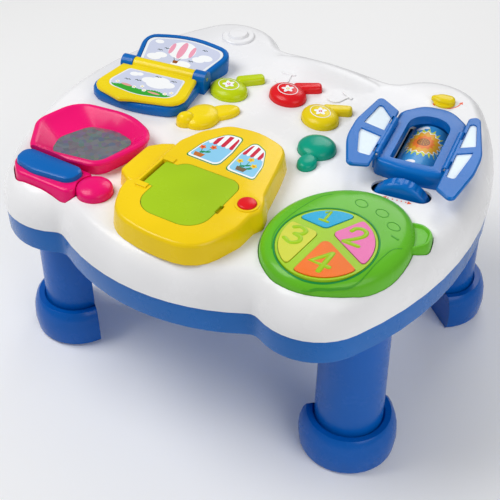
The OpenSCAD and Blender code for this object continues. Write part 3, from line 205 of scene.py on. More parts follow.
def ink(name, outlines, place, material, body="table", lift=0.05, rings=1):
    """Filled outlines of one colour in one object: rings of points middle + share * (outline - middle)."""
    points, faces, start = [], [], 0
    for path in outlines:
        path = np.asarray(path, float)
        middle = (path.min(0) + path.max(0)) / 2
        n = len(path)
        share = np.linspace(0, 1, rings + 1)[1:]
        rows = middle + share[:, None, None] * (path - middle)
        points.append(np.vstack([middle[None], rows.reshape(-1, 2)]))
        k = np.arange(n)
        faces.append(np.column_stack([np.full(n, start), start + 1 + k, start + 1 + (k + 1) % n]))
        if rings > 1:
            faces.append(grid_faces(rings, n, wrap_cols=True, start=start + 1)[:, ::-1])
        start += 1 + rings * n
    plan = np.vstack(points)
    rise = lift + np.repeat(np.arange(len(outlines)) * OVERLAP_STEP, [len(p) for p in points])[:, None]
    return piece(name, place(plan) + rise * surface_normal(place, plan), faces, material, body)


print("overlapping outlines lie", OVERLAP_STEP, "mm apart")

# %% [markdown]
# ## Raised lines
# Numerals, grooves and arrows are strokes: a path with a width. A curve object with a bevel would give a
# round tube, which stands too proud, so the mesh is computed. The path is first smoothed by a spline
# through its corners, then a low rounded profile is carried along it. The profile is half an ellipse, so
# the stroke has a crest in the middle and meets the surface at both sides, where it is sunk in a little.
# Two narrower profiles beyond each end round it off.

# %% Stroke maker
STROKE_SINK = 0.02
CAP_REACH = np.array([[0.42], [0.25]])
CAP_SCALE = np.array([0.35, 0.82])


def spline(corners, steps=8, closed=False):
    """A Catmull-Rom curve through the corners, sampled at steps points for each span."""
    p = np.asarray(corners, float)
    p = np.vstack([p[-1], p, p[:2]]) if closed else np.vstack([2 * p[0] - p[1], p, 2 * p[-1] - p[-2]])
    t = np.linspace(0, 1, steps, endpoint=False)[None, :, None]
    a, b, c, d = (p[k:len(p) - 3 + k, None, :] for k in range(4))
    square, cube = 2 * a - 5 * b + 4 * c - d, 3 * b - a - 3 * c + d
    curve = (0.5 * (2 * b + (c - a) * t + square * t ** 2 + cube * t ** 3)).reshape(-1, p.shape[1])
    return curve if closed else np.vstack([curve, p[-2]])


def stroke(name, paths, width, height, place, material, body="table", closed=False, sharp=False):
    """Raised lines along flat paths: path + side * (width / 2) cos theta, lifted by height * sin theta."""
    points, faces, start = [], [], 0
    theta = np.linspace(0, np.pi, 9)
    across, rise = np.cos(theta) * width / 2, np.sin(theta) * height
    for path in paths:
        line = np.asarray(path, float) if sharp else spline(path, closed=closed)
        along = np.gradient(line, axis=0)
        if closed:
            along = np.roll(line, -1, 0) - np.roll(line, 1, 0)
        along /= np.linalg.norm(along, axis=1, keepdims=True)
        side = np.column_stack([-along[:, 1], along[:, 0]])
        scale = np.ones(len(line))
        if not closed:
            reach = CAP_REACH * width
            line = np.vstack([line[0] - along[0] * reach, line, line[-1] + along[-1] * reach[::-1]])
            side = np.vstack([side[[0, 0]], side, side[[-1, -1]]])
            scale = np.concatenate([CAP_SCALE, scale, CAP_SCALE[::-1]])
        plan = line[:, None, :] + side[:, None, :] * (across * scale[:, None])[:, :, None]
        rows, cols = plan.shape[:2]
        plan = plan.reshape(-1, 2)
        lift = (rise[None, :] * scale[:, None]).reshape(-1, 1) - STROKE_SINK
        points.append(place(plan) + surface_normal(place, plan) * lift)
        faces.append(grid_faces(rows, cols, wrap_rows=closed, start=start))
        start += rows * cols
    return piece(name, np.vstack(points), faces, material, body)


print("a spline through 3 corners has", len(spline([(0, 0), (1, 1), (2, 0)])), "points")

# %% [markdown]
# ## Arithmetic on shader sockets
# A procedural finish is a formula of the place on the surface. Blender writes formulas as nodes, which is
# hard to read in code. The Wire class lets a formula be written as one: adding, taking away or
# multiplying two wires puts the Math node there and returns its output.

# %% Shader wires


def math_node(operation, swapped=False):
    """A method that joins a wire and another value by a Math node, the other value first where swapped."""
    def method(wire, other):
        first, second = (other, wire) if swapped else (wire, other)
        return wire.node("ShaderNodeMath", first, second, operation=operation)
    return method


class Wire:
    """An output of a node. Arithmetic on it makes Math nodes in the same tree."""

    __add__ = math_node("ADD")
    __radd__ = math_node("ADD", swapped=True)
    __sub__ = math_node("SUBTRACT")
    __rsub__ = math_node("SUBTRACT", swapped=True)
    __mul__ = math_node("MULTIPLY")
    __rmul__ = math_node("MULTIPLY", swapped=True)

    def __init__(self, tree, socket):
        self.tree, self.socket = tree, socket

    def node(self, kind, *inputs, out=0, at=None, **settings):
        """Any node: inputs are wires or values in socket order, or named in at; settings are properties."""
        made = self.tree.nodes.new(kind)
        for key, value in settings.items():
            setattr(made, key, value)
        for key, value in list(enumerate(inputs)) + list((at or {}).items()):
            if isinstance(value, Wire):
                self.tree.links.new(value.socket, made.inputs[key])
            else:
                made.inputs[key].default_value = value
        return Wire(self.tree, made.outputs[out])

    def between(self, low, high):
        """A smooth step: 0 below low, 1 above high."""
        return self.node("ShaderNodeMapRange", self, low, high, 0.0, 1.0, interpolation_type="SMOOTHSTEP")

    def blend(self, first, second):
        """The colour first where this wire is 0 and second where it is 1."""
        return self.node("ShaderNodeMix", self, at={6: first, 7: second}, out=2, data_type="RGBA")


def srgb(red, green, blue):
    """A colour given as it looks, 0 to 255, as the linear value that the shader takes."""
    def linear(v):
        v /= 255
        return v / 12.92 if v <= 0.04045 else ((v + 0.055) / 1.055) ** 2.4
    return (linear(red), linear(green), linear(blue), 1.0)


print("a middle grey of 128 is", round(srgb(128, 128, 128)[0], 3), "in linear light")

# %% [markdown]
# ## Moulded plastic
# The table is made of polished, coloured plastic. Such a part has one pigment colour, but it isn't even:
# the pigment drifts a little where the melt flowed, the polish of the mould varies, the surface has a
# very shallow ripple, and small hands leave a few duller patches. Four noises of different sizes in the
# object's own coordinates give that. They change only the colour, the roughness and the bump, and the
# gloss itself is the clear coat of the shader. A Bevel node in the bump lets every sharp edge of a solid
# catch the light, as the half millimetre of round on a moulded edge does, without a change to the mesh.

# %% Plastic finish
REFRACTION, SPECULAR = 1.48, 0.24
COAT_ROUGHNESS = 0.08
SOFT_EDGE = 0.0005
FLOW_SCALE, POLISH_SCALE, GRAIN_SCALE, RUB_SCALE = 9.0, 38.0, 1400.0, 16.0


def new_material(name, metallic=0.0, coat=0.0):
    """An empty material with its shader, and a wire that carries the piece's own coordinates in metres."""
    material = bpy.data.materials.new(name)
    material.use_nodes = True
    tree = material.node_tree
    shader = tree.nodes["Principled BSDF"]
    shader.inputs["Metallic"].default_value = metallic
    shader.inputs["Coat Weight"].default_value = coat
    shader.inputs["Coat Roughness"].default_value = COAT_ROUGHNESS
    shader.inputs["IOR"].default_value = REFRACTION
    shader.inputs["Specular IOR Level"].default_value = SPECULAR
    return material, shader, Wire(tree, tree.nodes.new("ShaderNodeTexCoord").outputs["Object"])


def noise(place, scale, detail=2.0, rough=0.5):
    """Cloud noise whose lumps are about 1 / scale metres wide."""
    sockets = {"Scale": scale, "Detail": detail, "Roughness": rough}
    return place.node("ShaderNodeTexNoise", place, at=sockets)


def shade(colour, factor):
    """A colour made darker or lighter by a factor."""
    return tuple(min(1.0, v * factor) for v in colour[:3]) + (1.0,)


def finish(shader, colour, roughness, height, strength, distance=0.002):
    """Wires colour, roughness and bump to a shader; height in the bump stands for distance metres."""
    tree = shader.id_data
    edge = height.node("ShaderNodeBevel", SOFT_EDGE, samples=4)
    bump = height.node("ShaderNodeBump", at={"Strength": strength, "Distance": distance, "Height": height,
                                             "Normal": edge})
    for wire, socket in ((colour, "Base Color"), (roughness, "Roughness"), (bump, "Normal")):
        tree.links.new(wire.socket, shader.inputs[socket])


def plastic(name, colour, rough=0.26, drift=0.05, coat=0.06, ripple=0.08):
    """Moulded plastic: its pigment drifts by a share of drift, its roughness is rough plus small noises."""
    material, shader, place = new_material(name, coat=coat)
    flow, polish = noise(place, FLOW_SCALE), noise(place, POLISH_SCALE, 4.0)
    grain = noise(place, GRAIN_SCALE)
    base = flow.between(0.36, 0.64).blend(shade(colour, 1 - drift), shade(colour, 1 + drift))
    rub = noise(place, RUB_SCALE, 5.0, 0.7).between(0.55, 0.75)
    roughness = rough + (polish - 0.5) * 0.16 + (grain - 0.5) * 0.04 + rub * 0.05
    finish(shader, base, roughness, flow * 0.6 + polish * 0.3 + grain * 0.02, ripple)
    return material


print("plastic: refraction", REFRACTION, "and soft edges of", SOFT_EDGE / MM, "mm")

# %% [markdown]
# ## Pigments
# Each colour is written as it looks in plain light. The names are those of the record's material slots,
# so a solid finds its finish by the slot that its node has there.

# %% Pigments
PIGMENTS = dict(
    shell_white=(238, 238, 240), shell_blue=(0, 100, 182), leg_blue=(0, 90, 178),
    house_yellow=(242, 206, 14), door_lime=(163, 200, 22), button_red=(226, 22, 32),
    pad_green=(98, 184, 38), disc_lime=(160, 203, 28), key_blue=(0, 168, 214), key_pink=(234, 116, 178),
    key_olive=(205, 210, 60), key_orange=(240, 114, 18), tub_pink=(236, 12, 112),
    page_yellow=(238, 212, 12), window_blue=(0, 108, 194), pane_pale=(225, 239, 248),
    note_green=(188, 208, 8), key_teal=(0, 155, 128), drum_print=(60, 150, 215))
finishes = {slot: plastic("moulded_" + slot, srgb(*colour)) for slot, colour in PIGMENTS.items()}
print("plastic finishes:", len(finishes))

# %% [markdown]
# ## Other materials
# The hidden parts are not plastic: pins and screws are turned steel, the contacts are brass, the switch
# pads are silicone rubber, the boards are glass-fibre with a green lacquer. Turned metal shows fine lines
# round its axis, so its noise is squeezed along z. The mirror is a thin foil, so it isn't quite flat and
# it shows pale rainbow glints where its fine pressed pattern breaks the light up.

# %% Steel, brass, rubber, board and foil
TURNING_SCALE = (60.0, 60.0, 2600.0)
STAIN_SCALE, SOIL_SCALE, LUMP_SCALE = 120.0, 60.0, 900.0
FOIL_CELLS, FOIL_WAVE = 210.0, 45.0


def metal(name, colour, rough):
    """Turned metal: fine lines round the piece's axis show as stretched noise in roughness and bump."""
    material, shader, place = new_material(name, metallic=1.0)
    lines = place.node("ShaderNodeMapping", place, at={"Scale": TURNING_SCALE})
    turning, stain = noise(lines, 1.0, 3.0), noise(place, STAIN_SCALE, 3.0)
    base = stain.blend(shade(colour, 0.86), shade(colour, 1.08))
    roughness = rough + (turning - 0.5) * 0.25 + (stain - 0.5) * 0.1
    finish(shader, base, roughness, turning, strength=0.15, distance=0.0002)
    return material


def matt(name, colour, rough, spots=0.25):
    """Rubber, lacquer or printed film: matt, with fine lumps and a little soiling."""
    material, shader, place = new_material(name)
    fine, soil = noise(place, LUMP_SCALE, 4.0), noise(place, SOIL_SCALE, 3.0)
    base = soil.between(0.3, 0.7).blend(shade(colour, 1 - spots), shade(colour, 1 + spots))
    finish(shader, base, rough + (fine - 0.5) * 0.2, fine, strength=0.2, distance=0.0002)
    return material


def foil(name):
    """Mirror foil: cells turned at random give each patch its own tint and its own slight tilt."""
    material, shader, place = new_material(name, metallic=1.0)
    cells = place.node("ShaderNodeTexVoronoi", place, at={"Scale": FOIL_CELLS}, out=1)
    tint = cells.node("ShaderNodeMix", 0.24, at={6: srgb(196, 208, 222), 7: cells}, out=2, data_type="RGBA")
    facets = place.node("ShaderNodeTexVoronoi", place, at={"Scale": FOIL_CELLS})
    wave = noise(place, FOIL_WAVE)
    finish(shader, tint, 0.16 + wave * 0.14, facets * 0.5 + wave, strength=0.35, distance=0.0008)
    return material


finishes.update(
    pin_steel=metal("turned_steel", srgb(196, 198, 202), 0.28),
    contact_brass=metal("sprung_brass", srgb(214, 190, 132), 0.3),
    board_green=matt("board_lacquer", srgb(24, 110, 62), 0.4),
    pad_rubber=matt("switch_rubber", srgb(120, 122, 126), 0.62),
    speaker_black=matt("black_moulding", srgb(38, 39, 42), 0.5),
    battery_sleeve=matt("cell_sleeve", srgb(70, 72, 78), 0.38),
    mirror_foil=foil("mirror_foil"))
finishes["printed_card"] = plastic("card_film", srgb(236, 240, 244), 0.3, 0.02, 0.5, 0.03)
finishes["label_paper"] = finishes["printed_card"]
print("finishes:", len(finishes))

# %% [markdown]
# ## Finishing the solids
# The solids arrive as loose triangles, so every triangle would be shaded flat. A small geometry-node
# group welds the points and marks every edge below 32 degrees as smooth, which is what a polished mould
# does to a curved wall. It is a modifier, so the solid itself stays as it was made. The finish of each
# comes from its slot.

# %% Welded and smooth solids
WELD_DISTANCE = 0.004 * MM
SHARP_ANGLE = math.radians(32.0)


def smoothing_group():
    """A node group: weld close points, shade faces smooth, keep the edges above the sharp angle sharp."""
    group = bpy.data.node_groups.new("weld_and_smooth", "GeometryNodeTree")
    group.interface.new_socket("Geometry", in_out="INPUT", socket_type="NodeSocketGeometry")
    group.interface.new_socket("Geometry", in_out="OUTPUT", socket_type="NodeSocketGeometry")
    nodes, links = group.nodes, group.links
    inlet, outlet = nodes.new("NodeGroupInput"), nodes.new("NodeGroupOutput")
    weld = nodes.new("GeometryNodeMergeByDistance")
    weld.inputs["Distance"].default_value = WELD_DISTANCE
    faces, edges = nodes.new("GeometryNodeSetShadeSmooth"), nodes.new("GeometryNodeSetShadeSmooth")
    edges.domain = "EDGE"
    edges.inputs["Shade Smooth"].default_value = False
    angle, sharp = nodes.new("GeometryNodeInputMeshEdgeAngle"), nodes.new("ShaderNodeMath")
    sharp.operation = "GREATER_THAN"
    sharp.inputs[1].default_value = SHARP_ANGLE
    links.new(inlet.outputs[0], weld.inputs["Geometry"])
    links.new(weld.outputs["Geometry"], faces.inputs["Geometry"])
    links.new(faces.outputs["Geometry"], edges.inputs["Geometry"])
    links.new(angle.outputs["Unsigned Angle"], sharp.inputs[0])
    links.new(sharp.outputs[0], edges.inputs["Selection"])
    links.new(edges.outputs["Geometry"], outlet.inputs[0])
    return group


smoothing = smoothing_group()
slots = {part["node"]: part["material_slot"] for part in frame["record"]["subparts"]}
for node in sorted(NODES):
    solid = NODES[node]
    solid.data.materials.clear()
    solid.data.materials.append(finishes[slots[node]])
    solid.modifiers.new("weld_and_smooth", "NODES").node_group = smoothing
print("dressed:", len(NODES), "solids with", len(set(slots.values())), "finishes")

# %% [markdown]
# ## Numerals on the keys
# On such a table the numerals stand proud in the lime of the disc, because the disc is moulded up through
# its coloured keys. A text object would give sharp, flat-faced letters, so each numeral is drawn here by
# a few corners in a box one unit high, and a stroke with a rounded crest follows them. The strokes ride
# on their key, so they go down with it.

# %% Numerals
NUMERALS = dict(
    one=[([(-0.2, 0.28), (0.04, 0.5), (0.04, -0.5)], True),
         ([(-0.24, -0.5), (0.32, -0.5)], True)],
    two=[([(-0.28, 0.2), (-0.2, 0.41), (0.02, 0.5), (0.25, 0.4), (0.26, 0.14), (0.04, -0.16),
           (-0.28, -0.48)], False),
         ([(-0.28, -0.48), (0.34, -0.48)], True)],
    three=[([(-0.27, 0.36), (-0.04, 0.5), (0.23, 0.38), (0.19, 0.13), (-0.06, 0.03)], False),
           ([(-0.06, 0.03), (0.24, -0.07), (0.28, -0.33), (0.03, -0.5), (-0.29, -0.37)], False)],
    four=[([(0.15, -0.5), (0.15, 0.5)], True),
          ([(0.15, 0.5), (-0.31, -0.17), (0.36, -0.17)], True)])
NUMERAL_SIZES = dict(one=((119, -81), 14), two=((152, -92.5), 22), three=((108.2, -116), 22),
                     four=((142, -134), 25))
NUMERAL_WEIGHT = 0.19
NUMERAL_RISE = 0.7
KEYS_TOP = heights("key_one")[1]
for word, (centre, height) in NUMERAL_SIZES.items():
    on_key, weight = flat(centre, 0, KEYS_TOP), NUMERAL_WEIGHT * height
    for part, (path, sharp) in enumerate(NUMERALS[word]):
        stroke(f"numeral_{word}_{part}", [np.array(path) * height], weight, NUMERAL_RISE, on_key,
               finishes["disc_lime"], "push_" + word, sharp=sharp)
print("numerals:", ", ".join(NUMERALS))

# %% [markdown]
# ## Relief on the number pad
# A dark green ring is painted round the pad's disc as shade of the gap between disc and pad. Three shallow
# ovals and a bar in an arc above it, and a long groove at its front and left, are drawn in a darker green,
# which is painted shade along their edges and in the groove. They are too fine for the solid, so they are
# laid on it as low strokes.
# The pad's shoulder falls away toward its rim, so the strokes need its height: it depends on the distance
# to the rim, which is close to |p| (1 / rho - 1), where rho is the radius of the point in units of the
# pad's oval.

# %% Number pad relief
PAD_OVAL = (60.5, 72.0)
PAD_TURN = -16
RIM_DISTANCES = [1, 2.2, 5.6, 10.6, 20]
SHOULDER_HEIGHTS = [237, 240.4, 243.1, 244.7, 246]


def rim_distance(local, radii):
    """How far inside an oval's rim its own plan points lie: |p| (1 / rho - 1)."""
    reach = np.maximum(np.linalg.norm(local, axis=1), TINY)
    rho = np.maximum(np.hypot(local[:, 0] / radii[0], local[:, 1] / radii[1]), TINY)
    return reach * (1 / rho - 1)


def on_pad(points):
    """The pad's surface over plan points: its height by the distance from the turned oval's rim."""
    local = turned(np.asarray(points, float) - PAD, -PAD_TURN)
    height = np.interp(rim_distance(local, PAD_OVAL), RIM_DISTANCES, SHOULDER_HEIGHTS)
    return np.column_stack([points, height])


# Painted shade: the dark green ring stands for the shade in the gap between the disc and the pad.
gap_shade_green = plastic("gap_shade_green", srgb(20, 138, 62), 0.3)
# Painted shade: this darker green on the ovals, bar and groove stands for the shade along their edges.
relief_shade_green = plastic("relief_shade_green", srgb(70, 160, 34), 0.3)
upper_ovals = [oval(c, 6.0, 4.6, -20, 20) for c in ((136, -50), (157, -53), (173, -64))]
front_groove = [(141, -165), (150, -160), (164, -152), (177, -138), (181, -110), (184, -92), (190, -84)]
left_groove = [(108, -50), (100, -60), (93, -85), (90, -110), (92, -125), (99, -140)]
stroke("disc_gap_shade", [oval(DISC, 42.6, 47.1, count=60)], 1.5, 0.25, on_pad, gap_shade_green, closed=True)
stroke("pad_ovals", upper_ovals, 1.0, 0.3, on_pad, relief_shade_green, closed=True)
stroke("pad_bar", [[(177, -76), (183, -77)]], 2.2, 0.35, on_pad, relief_shade_green)
stroke("pad_groove", [front_groove, left_groove], 1.1, 0.25, on_pad, relief_shade_green)
print("pad relief: ring, ovals, bar and groove")

# %% [markdown]
# ## Printing inks
# The pictures are printed on film in flat colours. A picture texture would need a file, so each colour is
# a material of its own, and each picture is a stack of inks, every one a few hundredths of a millimetre
# above the one below.

# %% Inks


def film(name, colour):
    """Printed ink: an even, softly glossy colour with the grain of the film."""
    return plastic("ink_" + name, srgb(*colour), 0.34, 0.03, 0.12, 0.02)


INK = {name: film(name, colour) for name, colour in dict(
    white=(244, 246, 248), green=(46, 140, 52), sky=(140, 205, 238), red=(205, 28, 62),
    leaf=(10, 140, 84), pot=(196, 112, 40), clay=(120, 98, 70), yellow=(240, 214, 40),
    orange=(236, 120, 26), lilac=(202, 208, 230), grass=(48, 166, 40), dark=(38, 66, 62),
    rose=(226, 160, 150), pink=(236, 158, 182), deep=(0, 84, 160), gold=(232, 168, 22),
    lime=(206, 218, 44), brown=(150, 84, 24), signal=(238, 84, 24)).items()}
print("inks:", len(INK))

# %% [markdown]
# ## Cutting an ink by an outline
# Grass and awnings end where the label ends. For each x, the label's outline is crossed by a vertical
# line, and its lowest and highest crossing bound the ink. That is simpler than a Boolean, and it leaves
# an even strip of quads.

# %% Outline tools


def inner(path, share):
    """An outline drawn in toward the middle of its box by a share of its size."""
    middle = (path.min(0) + path.max(0)) / 2
    return middle + share * (path - middle)


def span(path, x):
    """The lowest and the highest point of a closed outline over each x."""
    a, b = path[None], np.roll(path, -1, 0)[None]
    x = np.asarray(x, float)[:, None]
    crossed = (a[..., 0] <= x) != (b[..., 0] <= x)
    run = np.where(crossed, b[..., 0] - a[..., 0], 1)
    y = a[..., 1] + (x - a[..., 0]) * (b[..., 1] - a[..., 1]) / run
    return np.where(crossed, y, np.inf).min(1), np.where(crossed, y, -np.inf).max(1)


def band(name, x, low, high, place, material, body="table", lift=0.08):
    """Ink between two curves over x, as a strip of five rows of points."""
    low = np.minimum(low, high)
    rows = low + np.linspace(0, 1, 5)[:, None] * (high - low)
    plan = np.column_stack([np.tile(x, 5), rows.ravel()])
    skin = place(plan) + lift * surface_normal(place, plan)
    return piece(name, skin, grid_faces(5, len(x)), material, body)


def puffs(balls, squeeze=0.55):
    """Cloud outlines: flattened ovals, each given by its middle and its half width."""
    return [oval(centre, r, r * squeeze) for centre, r in balls]


def birds(places, wing, crook):
    """Bird strokes: from wing tip over the crook of the wing to the body, and out again in mirror image."""
    shape = np.array([(-wing[0], wing[1]), (-crook[0], crook[1]), (0, 0), crook, wing])
    return [shape + place for place in places]


print("outline tools: inner, span, band, puffs, birds")

# %% [markdown]
# ## Printed window labels
# Each label on the house looks like a window: a green line, a white border, a sky, and a red and white
# awning with a scalloped hem. The awning is made stripe by stripe, because its hem hangs down in the
# middle of each stripe.

# %% Window labels
on_house = flat((0, 0), 0, heights("house_labels")[1])
LABEL_ORIGIN = np.array([5.5, -200.0])
LABELS = (([(-33, 122), (2, 121), (3, 146), (0, 171), (-16, 170), (-29, 150)], [3, 7, 30, 5, 12, 40]),
          ([(9, 121), (40, 120), (37, 142), (27, 164), (11, 172), (8, 150)], [5, 3, 30, 12, 5, 40]))
STRIPES = 7
HEM, SCALLOP, MARGIN = -49.5, 2.0, 0.2
for k, (corners, radii) in enumerate(LABELS):
    edge = rounded(np.array(corners) + LABEL_ORIGIN, radii)
    pane = inner(edge, 0.86)
    ink(f"label_line_{k}", [edge], on_house, INK["green"], lift=0.02)
    ink(f"label_border_{k}", [inner(edge, 0.95)], on_house, INK["white"], lift=0.04)
    ink(f"label_sky_{k}", [pane], on_house, INK["sky"], lift=0.06)
    cuts = np.linspace(pane[:, 0].min() + MARGIN, pane[:, 0].max() - MARGIN, STRIPES + 1)
    for stripe in range(STRIPES):
        x = np.linspace(cuts[stripe], cuts[stripe + 1], 13)
        low, high = span(pane, x)
        hem = HEM - SCALLOP * np.sin(np.linspace(0, np.pi, 13))
        colour = INK["white" if stripe % 2 else "red"]
        band(f"awning_{k}_{stripe}", x, np.maximum(hem, low), high, on_house, colour)
print("labels:", len(LABELS))

# %% [markdown]
# ## Potted flowers
# A pot of flowers stands in each window. The stems are raised a little more than the inks, like a heavy
# line of screen print, and every blossom is one petal outline with an eye.

# %% Potted flowers
POTS = (((-17, -72.0), "pot", "orange", "red", [(-20, -60), (-11, -56)]),
        ((27, -71.5), "clay", "yellow", "orange", [(20, -61), (28, -55), (35, -62)]))
POT_CORNERS = np.array([(-4, -2.6), (4, -2.6), (5.4, 3), (-5.4, 3)])
for k, (foot, pot, bloom, eye, heads) in enumerate(POTS):
    foot, heads = np.array(foot), np.array(heads)
    stems = [[foot + [0, 2], (foot + head) / 2 + [0.8, 0], head] for head in heads]
    leaves = [oval((foot + head) / 2 + [2.2, -0.5], 2.8, 1.2, 35) for head in heads]
    ink(f"pot_{k}", [foot + POT_CORNERS], on_house, INK[pot], lift=0.09)
    stroke(f"stems_{k}", stems, 0.9, 0.12, on_house, INK["leaf"])
    ink(f"leaves_{k}", leaves, on_house, INK["leaf"], lift=0.1)
    ink(f"blooms_{k}", [petals(head, 3.4, 5) for head in heads], on_house, INK[bloom], lift=0.15)
    ink(f"bloom_eyes_{k}", [oval(head, 1.1) for head in heads], on_house, INK[eye], lift=0.18)
print("pots:", len(POTS))

# %% [markdown]
# ## The page of the book
# The page carries a printed card: a meadow under a lilac sky. The card lies flat on the page and turns
# with it, so all its inks ride on the page. The top of the grass is a sum of a long wave and a short,
# pointed one.

# %% Page picture
on_page = flat(BOOK, BOOK_TURN, heights("page_card")[1])
card = rounded([(-36, -4), (-47, -38), (-7, -46.5), (31, -39), (27, -4)], [4, 11, 60, 12, 4])
field = inner(card, 0.95)
ink("page_sky", [field], on_page, INK["lilac"], "page", lift=0.03)
GRASS_LINE, GRASS_MARGIN = -35, 0.3
x = np.linspace(field[:, 0].min() + GRASS_MARGIN, field[:, 0].max() - GRASS_MARGIN, 60)
low, high = span(field, x)
blades = GRASS_LINE + 1.6 * np.sin(x / 5) + 1.5 * np.abs(np.sin(x * 1.1))
band("page_grass", x, low, np.minimum(high, blades), on_page, INK["grass"], "page", lift=0.06)
small_cloud = [oval((-26, -12), 5, 3.6), oval((-21, -10.5), 4, 3)]
big_cloud = puffs((((-6, -17), 9), ((4, -14), 10), ((13, -19), 9), ((4, -21), 12)), 0.62)
ink("page_cloud", small_cloud + big_cloud, on_page, INK["white"], "page", lift=0.05)
flock = birds(((-17, -22), (-1, -9), (17, -11), (-28, -24)), (3, 0.6), (1.4, 1.3))
stroke("page_birds", flock, 1.1, 0.12, on_page, INK["dark"], "page")
stones = [oval((-24, -33), 6, 1.8, -6), oval((8, -37), 7, 1.5, -4)]
ink("page_stones", stones, on_page, INK["rose"], "page", lift=0.09)
daisies = [(-35, -31), (-15, -34), (-3, -36), (19, -34), (24, -30), (-8, -30)]
ink("page_daisies", [petals(c, 2.6, 6) for c in daisies], on_page, INK["white"], "page", lift=0.1)
ink("page_daisy_eyes", [oval(c, 0.9) for c in daisies], on_page, INK["yellow"], "page", lift=0.13)
print("page: sky, grass, clouds,", len(flock), "birds and", len(daisies), "daisies")

# %% [markdown]
# ## The back leaf of the book
# The back leaf is fixed and leans up by 12 degrees, so its card's height grows with the distance from the
# page's hinge. The same flat drawing tools work on it: only the function that lays the drawing down is
# another one.

# %% Back leaf picture
LEAF_TILT = math.radians(12)
HINGE_V, HINGE_Z = 10, 247.0
CARD_DROP = 3.77


def on_leaf(points):
    """The back card's surface: from a line below the hinge it rises with the tangent of the tilt."""
    points = np.asarray(points, float)
    rise = HINGE_Z + (points[:, 1] - HINGE_V) * math.tan(LEAF_TILT) - CARD_DROP / math.cos(LEAF_TILT)
    return np.column_stack([turned(points, BOOK_TURN, BOOK), rise])


leaf_field = rounded([(-35, 22.5), (30, 22.5), (44.5, 54), (0, 63.5), (-41, 54)], [3, 3, 9, 100, 9])
leaf_clouds = puffs((((-26, 30), 8), ((-20, 34), 7), ((27, 42), 8), ((21, 38), 7), ((-30, 52), 5),
                     ((8, 27), 9), ((1, 25.5), 6)))
gores = [oval((-1, 46), 4, 12.2), oval((-12.5, 46), 2.6, 8), oval((10.5, 46), 2.6, 8)]
basket = rounded([(-3.4, 26.5), (1.4, 26.5), (2, 30.5), (-4, 30.5)], 0.8)
leaf_flock = birds(((-18, 44), (22, 52), (-24, 40), (14, 33)), (2.6, 0.5), (1.2, 1.2))
ink("leaf_sky", [leaf_field], on_leaf, INK["lilac"], lift=0.03)
ink("leaf_clouds", leaf_clouds, on_leaf, INK["white"], lift=0.05)
ink("balloon", [oval((-1, 46), 15, 12.5)], on_leaf, INK["white"], lift=0.07)
ink("balloon_gores", gores, on_leaf, INK["pink"], lift=0.09)
stroke("balloon_ropes", [[(-5, 34.5), (-2.6, 30)], [(3, 34.5), (0.6, 30)]], 0.7, 0.1, on_leaf, INK["dark"])
ink("balloon_basket", [basket], on_leaf, INK["brown"], lift=0.1)
stroke("leaf_birds", leaf_flock, 0.9, 0.12, on_leaf, INK["dark"])
print("back leaf: sky, clouds, balloon and", len(leaf_flock), "birds")

# %% [markdown]
# ## Picture drum: the sunflower
# Three pictures follow each other round the drum, and the window shows one at a time as the drum turns. A
# drawing is wrapped by turning its first coordinate s into the angle s / radius, so its sizes stay true
# on the round face. The inks have many rings there: a wide fan of one ring would cut through the drum.
# The first picture is a sunflower.

# %% Drum, first picture
DRUM_LOW, DRUM_HIGH = heights("picture_drum")
DRUM_AXIS, DRUM_RADIUS = (DRUM_HIGH + DRUM_LOW) / 2, (DRUM_HIGH - DRUM_LOW) / 2


def on_drum(points):
    """Wraps flat points (s, v) on the drum: angle s / radius about the axis, which runs along v."""
    points = np.asarray(points, float)
    angle = points[:, 0] / DRUM_RADIUS
    plan = turned(np.column_stack([DRUM_RADIUS * np.sin(angle), points[:, 1]]), WINDOW_TURN, WINDOW)
    return np.column_stack([plan, DRUM_AXIS + DRUM_RADIUS * np.cos(angle)])


def ring_of(centre, radius, count):
    """Points spaced evenly on a circle."""
    angle = np.linspace(0, 2 * np.pi, count, endpoint=False)
    return centre + radius * np.column_stack([np.cos(angle), np.sin(angle)])


flower = np.array([-1.0, 22.0])
day_puffs = (((-9, -13), 5), ((-4, -11), 4.4), ((-1, -15), 4), ((9, -17), 4.4), ((14, -19), 3.6),
             ((-10, 45), 4.6), ((-5, 46.5), 3.8))
ink("sun_rays", [spikes(flower, 17.5, 23.5, 24)], on_drum, INK["lime"], "drum", lift=0.06, rings=10)
ink("sun_rim", [petals(flower, 19, 16, 0.16)], on_drum, INK["white"], "drum", lift=0.09, rings=10)
ink("sun_petals", [petals(flower, 17.8, 16, 0.18)], on_drum, INK["gold"], "drum", lift=0.12, rings=10)
ink("sun_inner", [petals(flower, 11.5, 12, 0.2, 8)], on_drum, INK["orange"], "drum", lift=0.15, rings=7)
ink("sun_eye", [oval(flower, 6.2)], on_drum, INK["brown"], "drum", lift=0.18, rings=5)
seeds = np.vstack([ring_of(flower, 2.0, 5), ring_of(flower, 4.3, 10)])
ink("sun_seeds", [oval(c, 0.55, count=8) for c in seeds], on_drum, INK["gold"], "drum", lift=0.2)
ink("day_clouds", puffs(day_puffs), on_drum, INK["white"], "drum", lift=0.06, rings=4)
print("sunflower with", len(seeds), "seeds")

# %% [markdown]
# ## Picture drum: night and rainbow
# The second picture is a moon in a deep blue night. A second disc of the night's colour covers a part of
# the first, which leaves a crescent without any cutting. The third is a rainbow of five raised strokes.

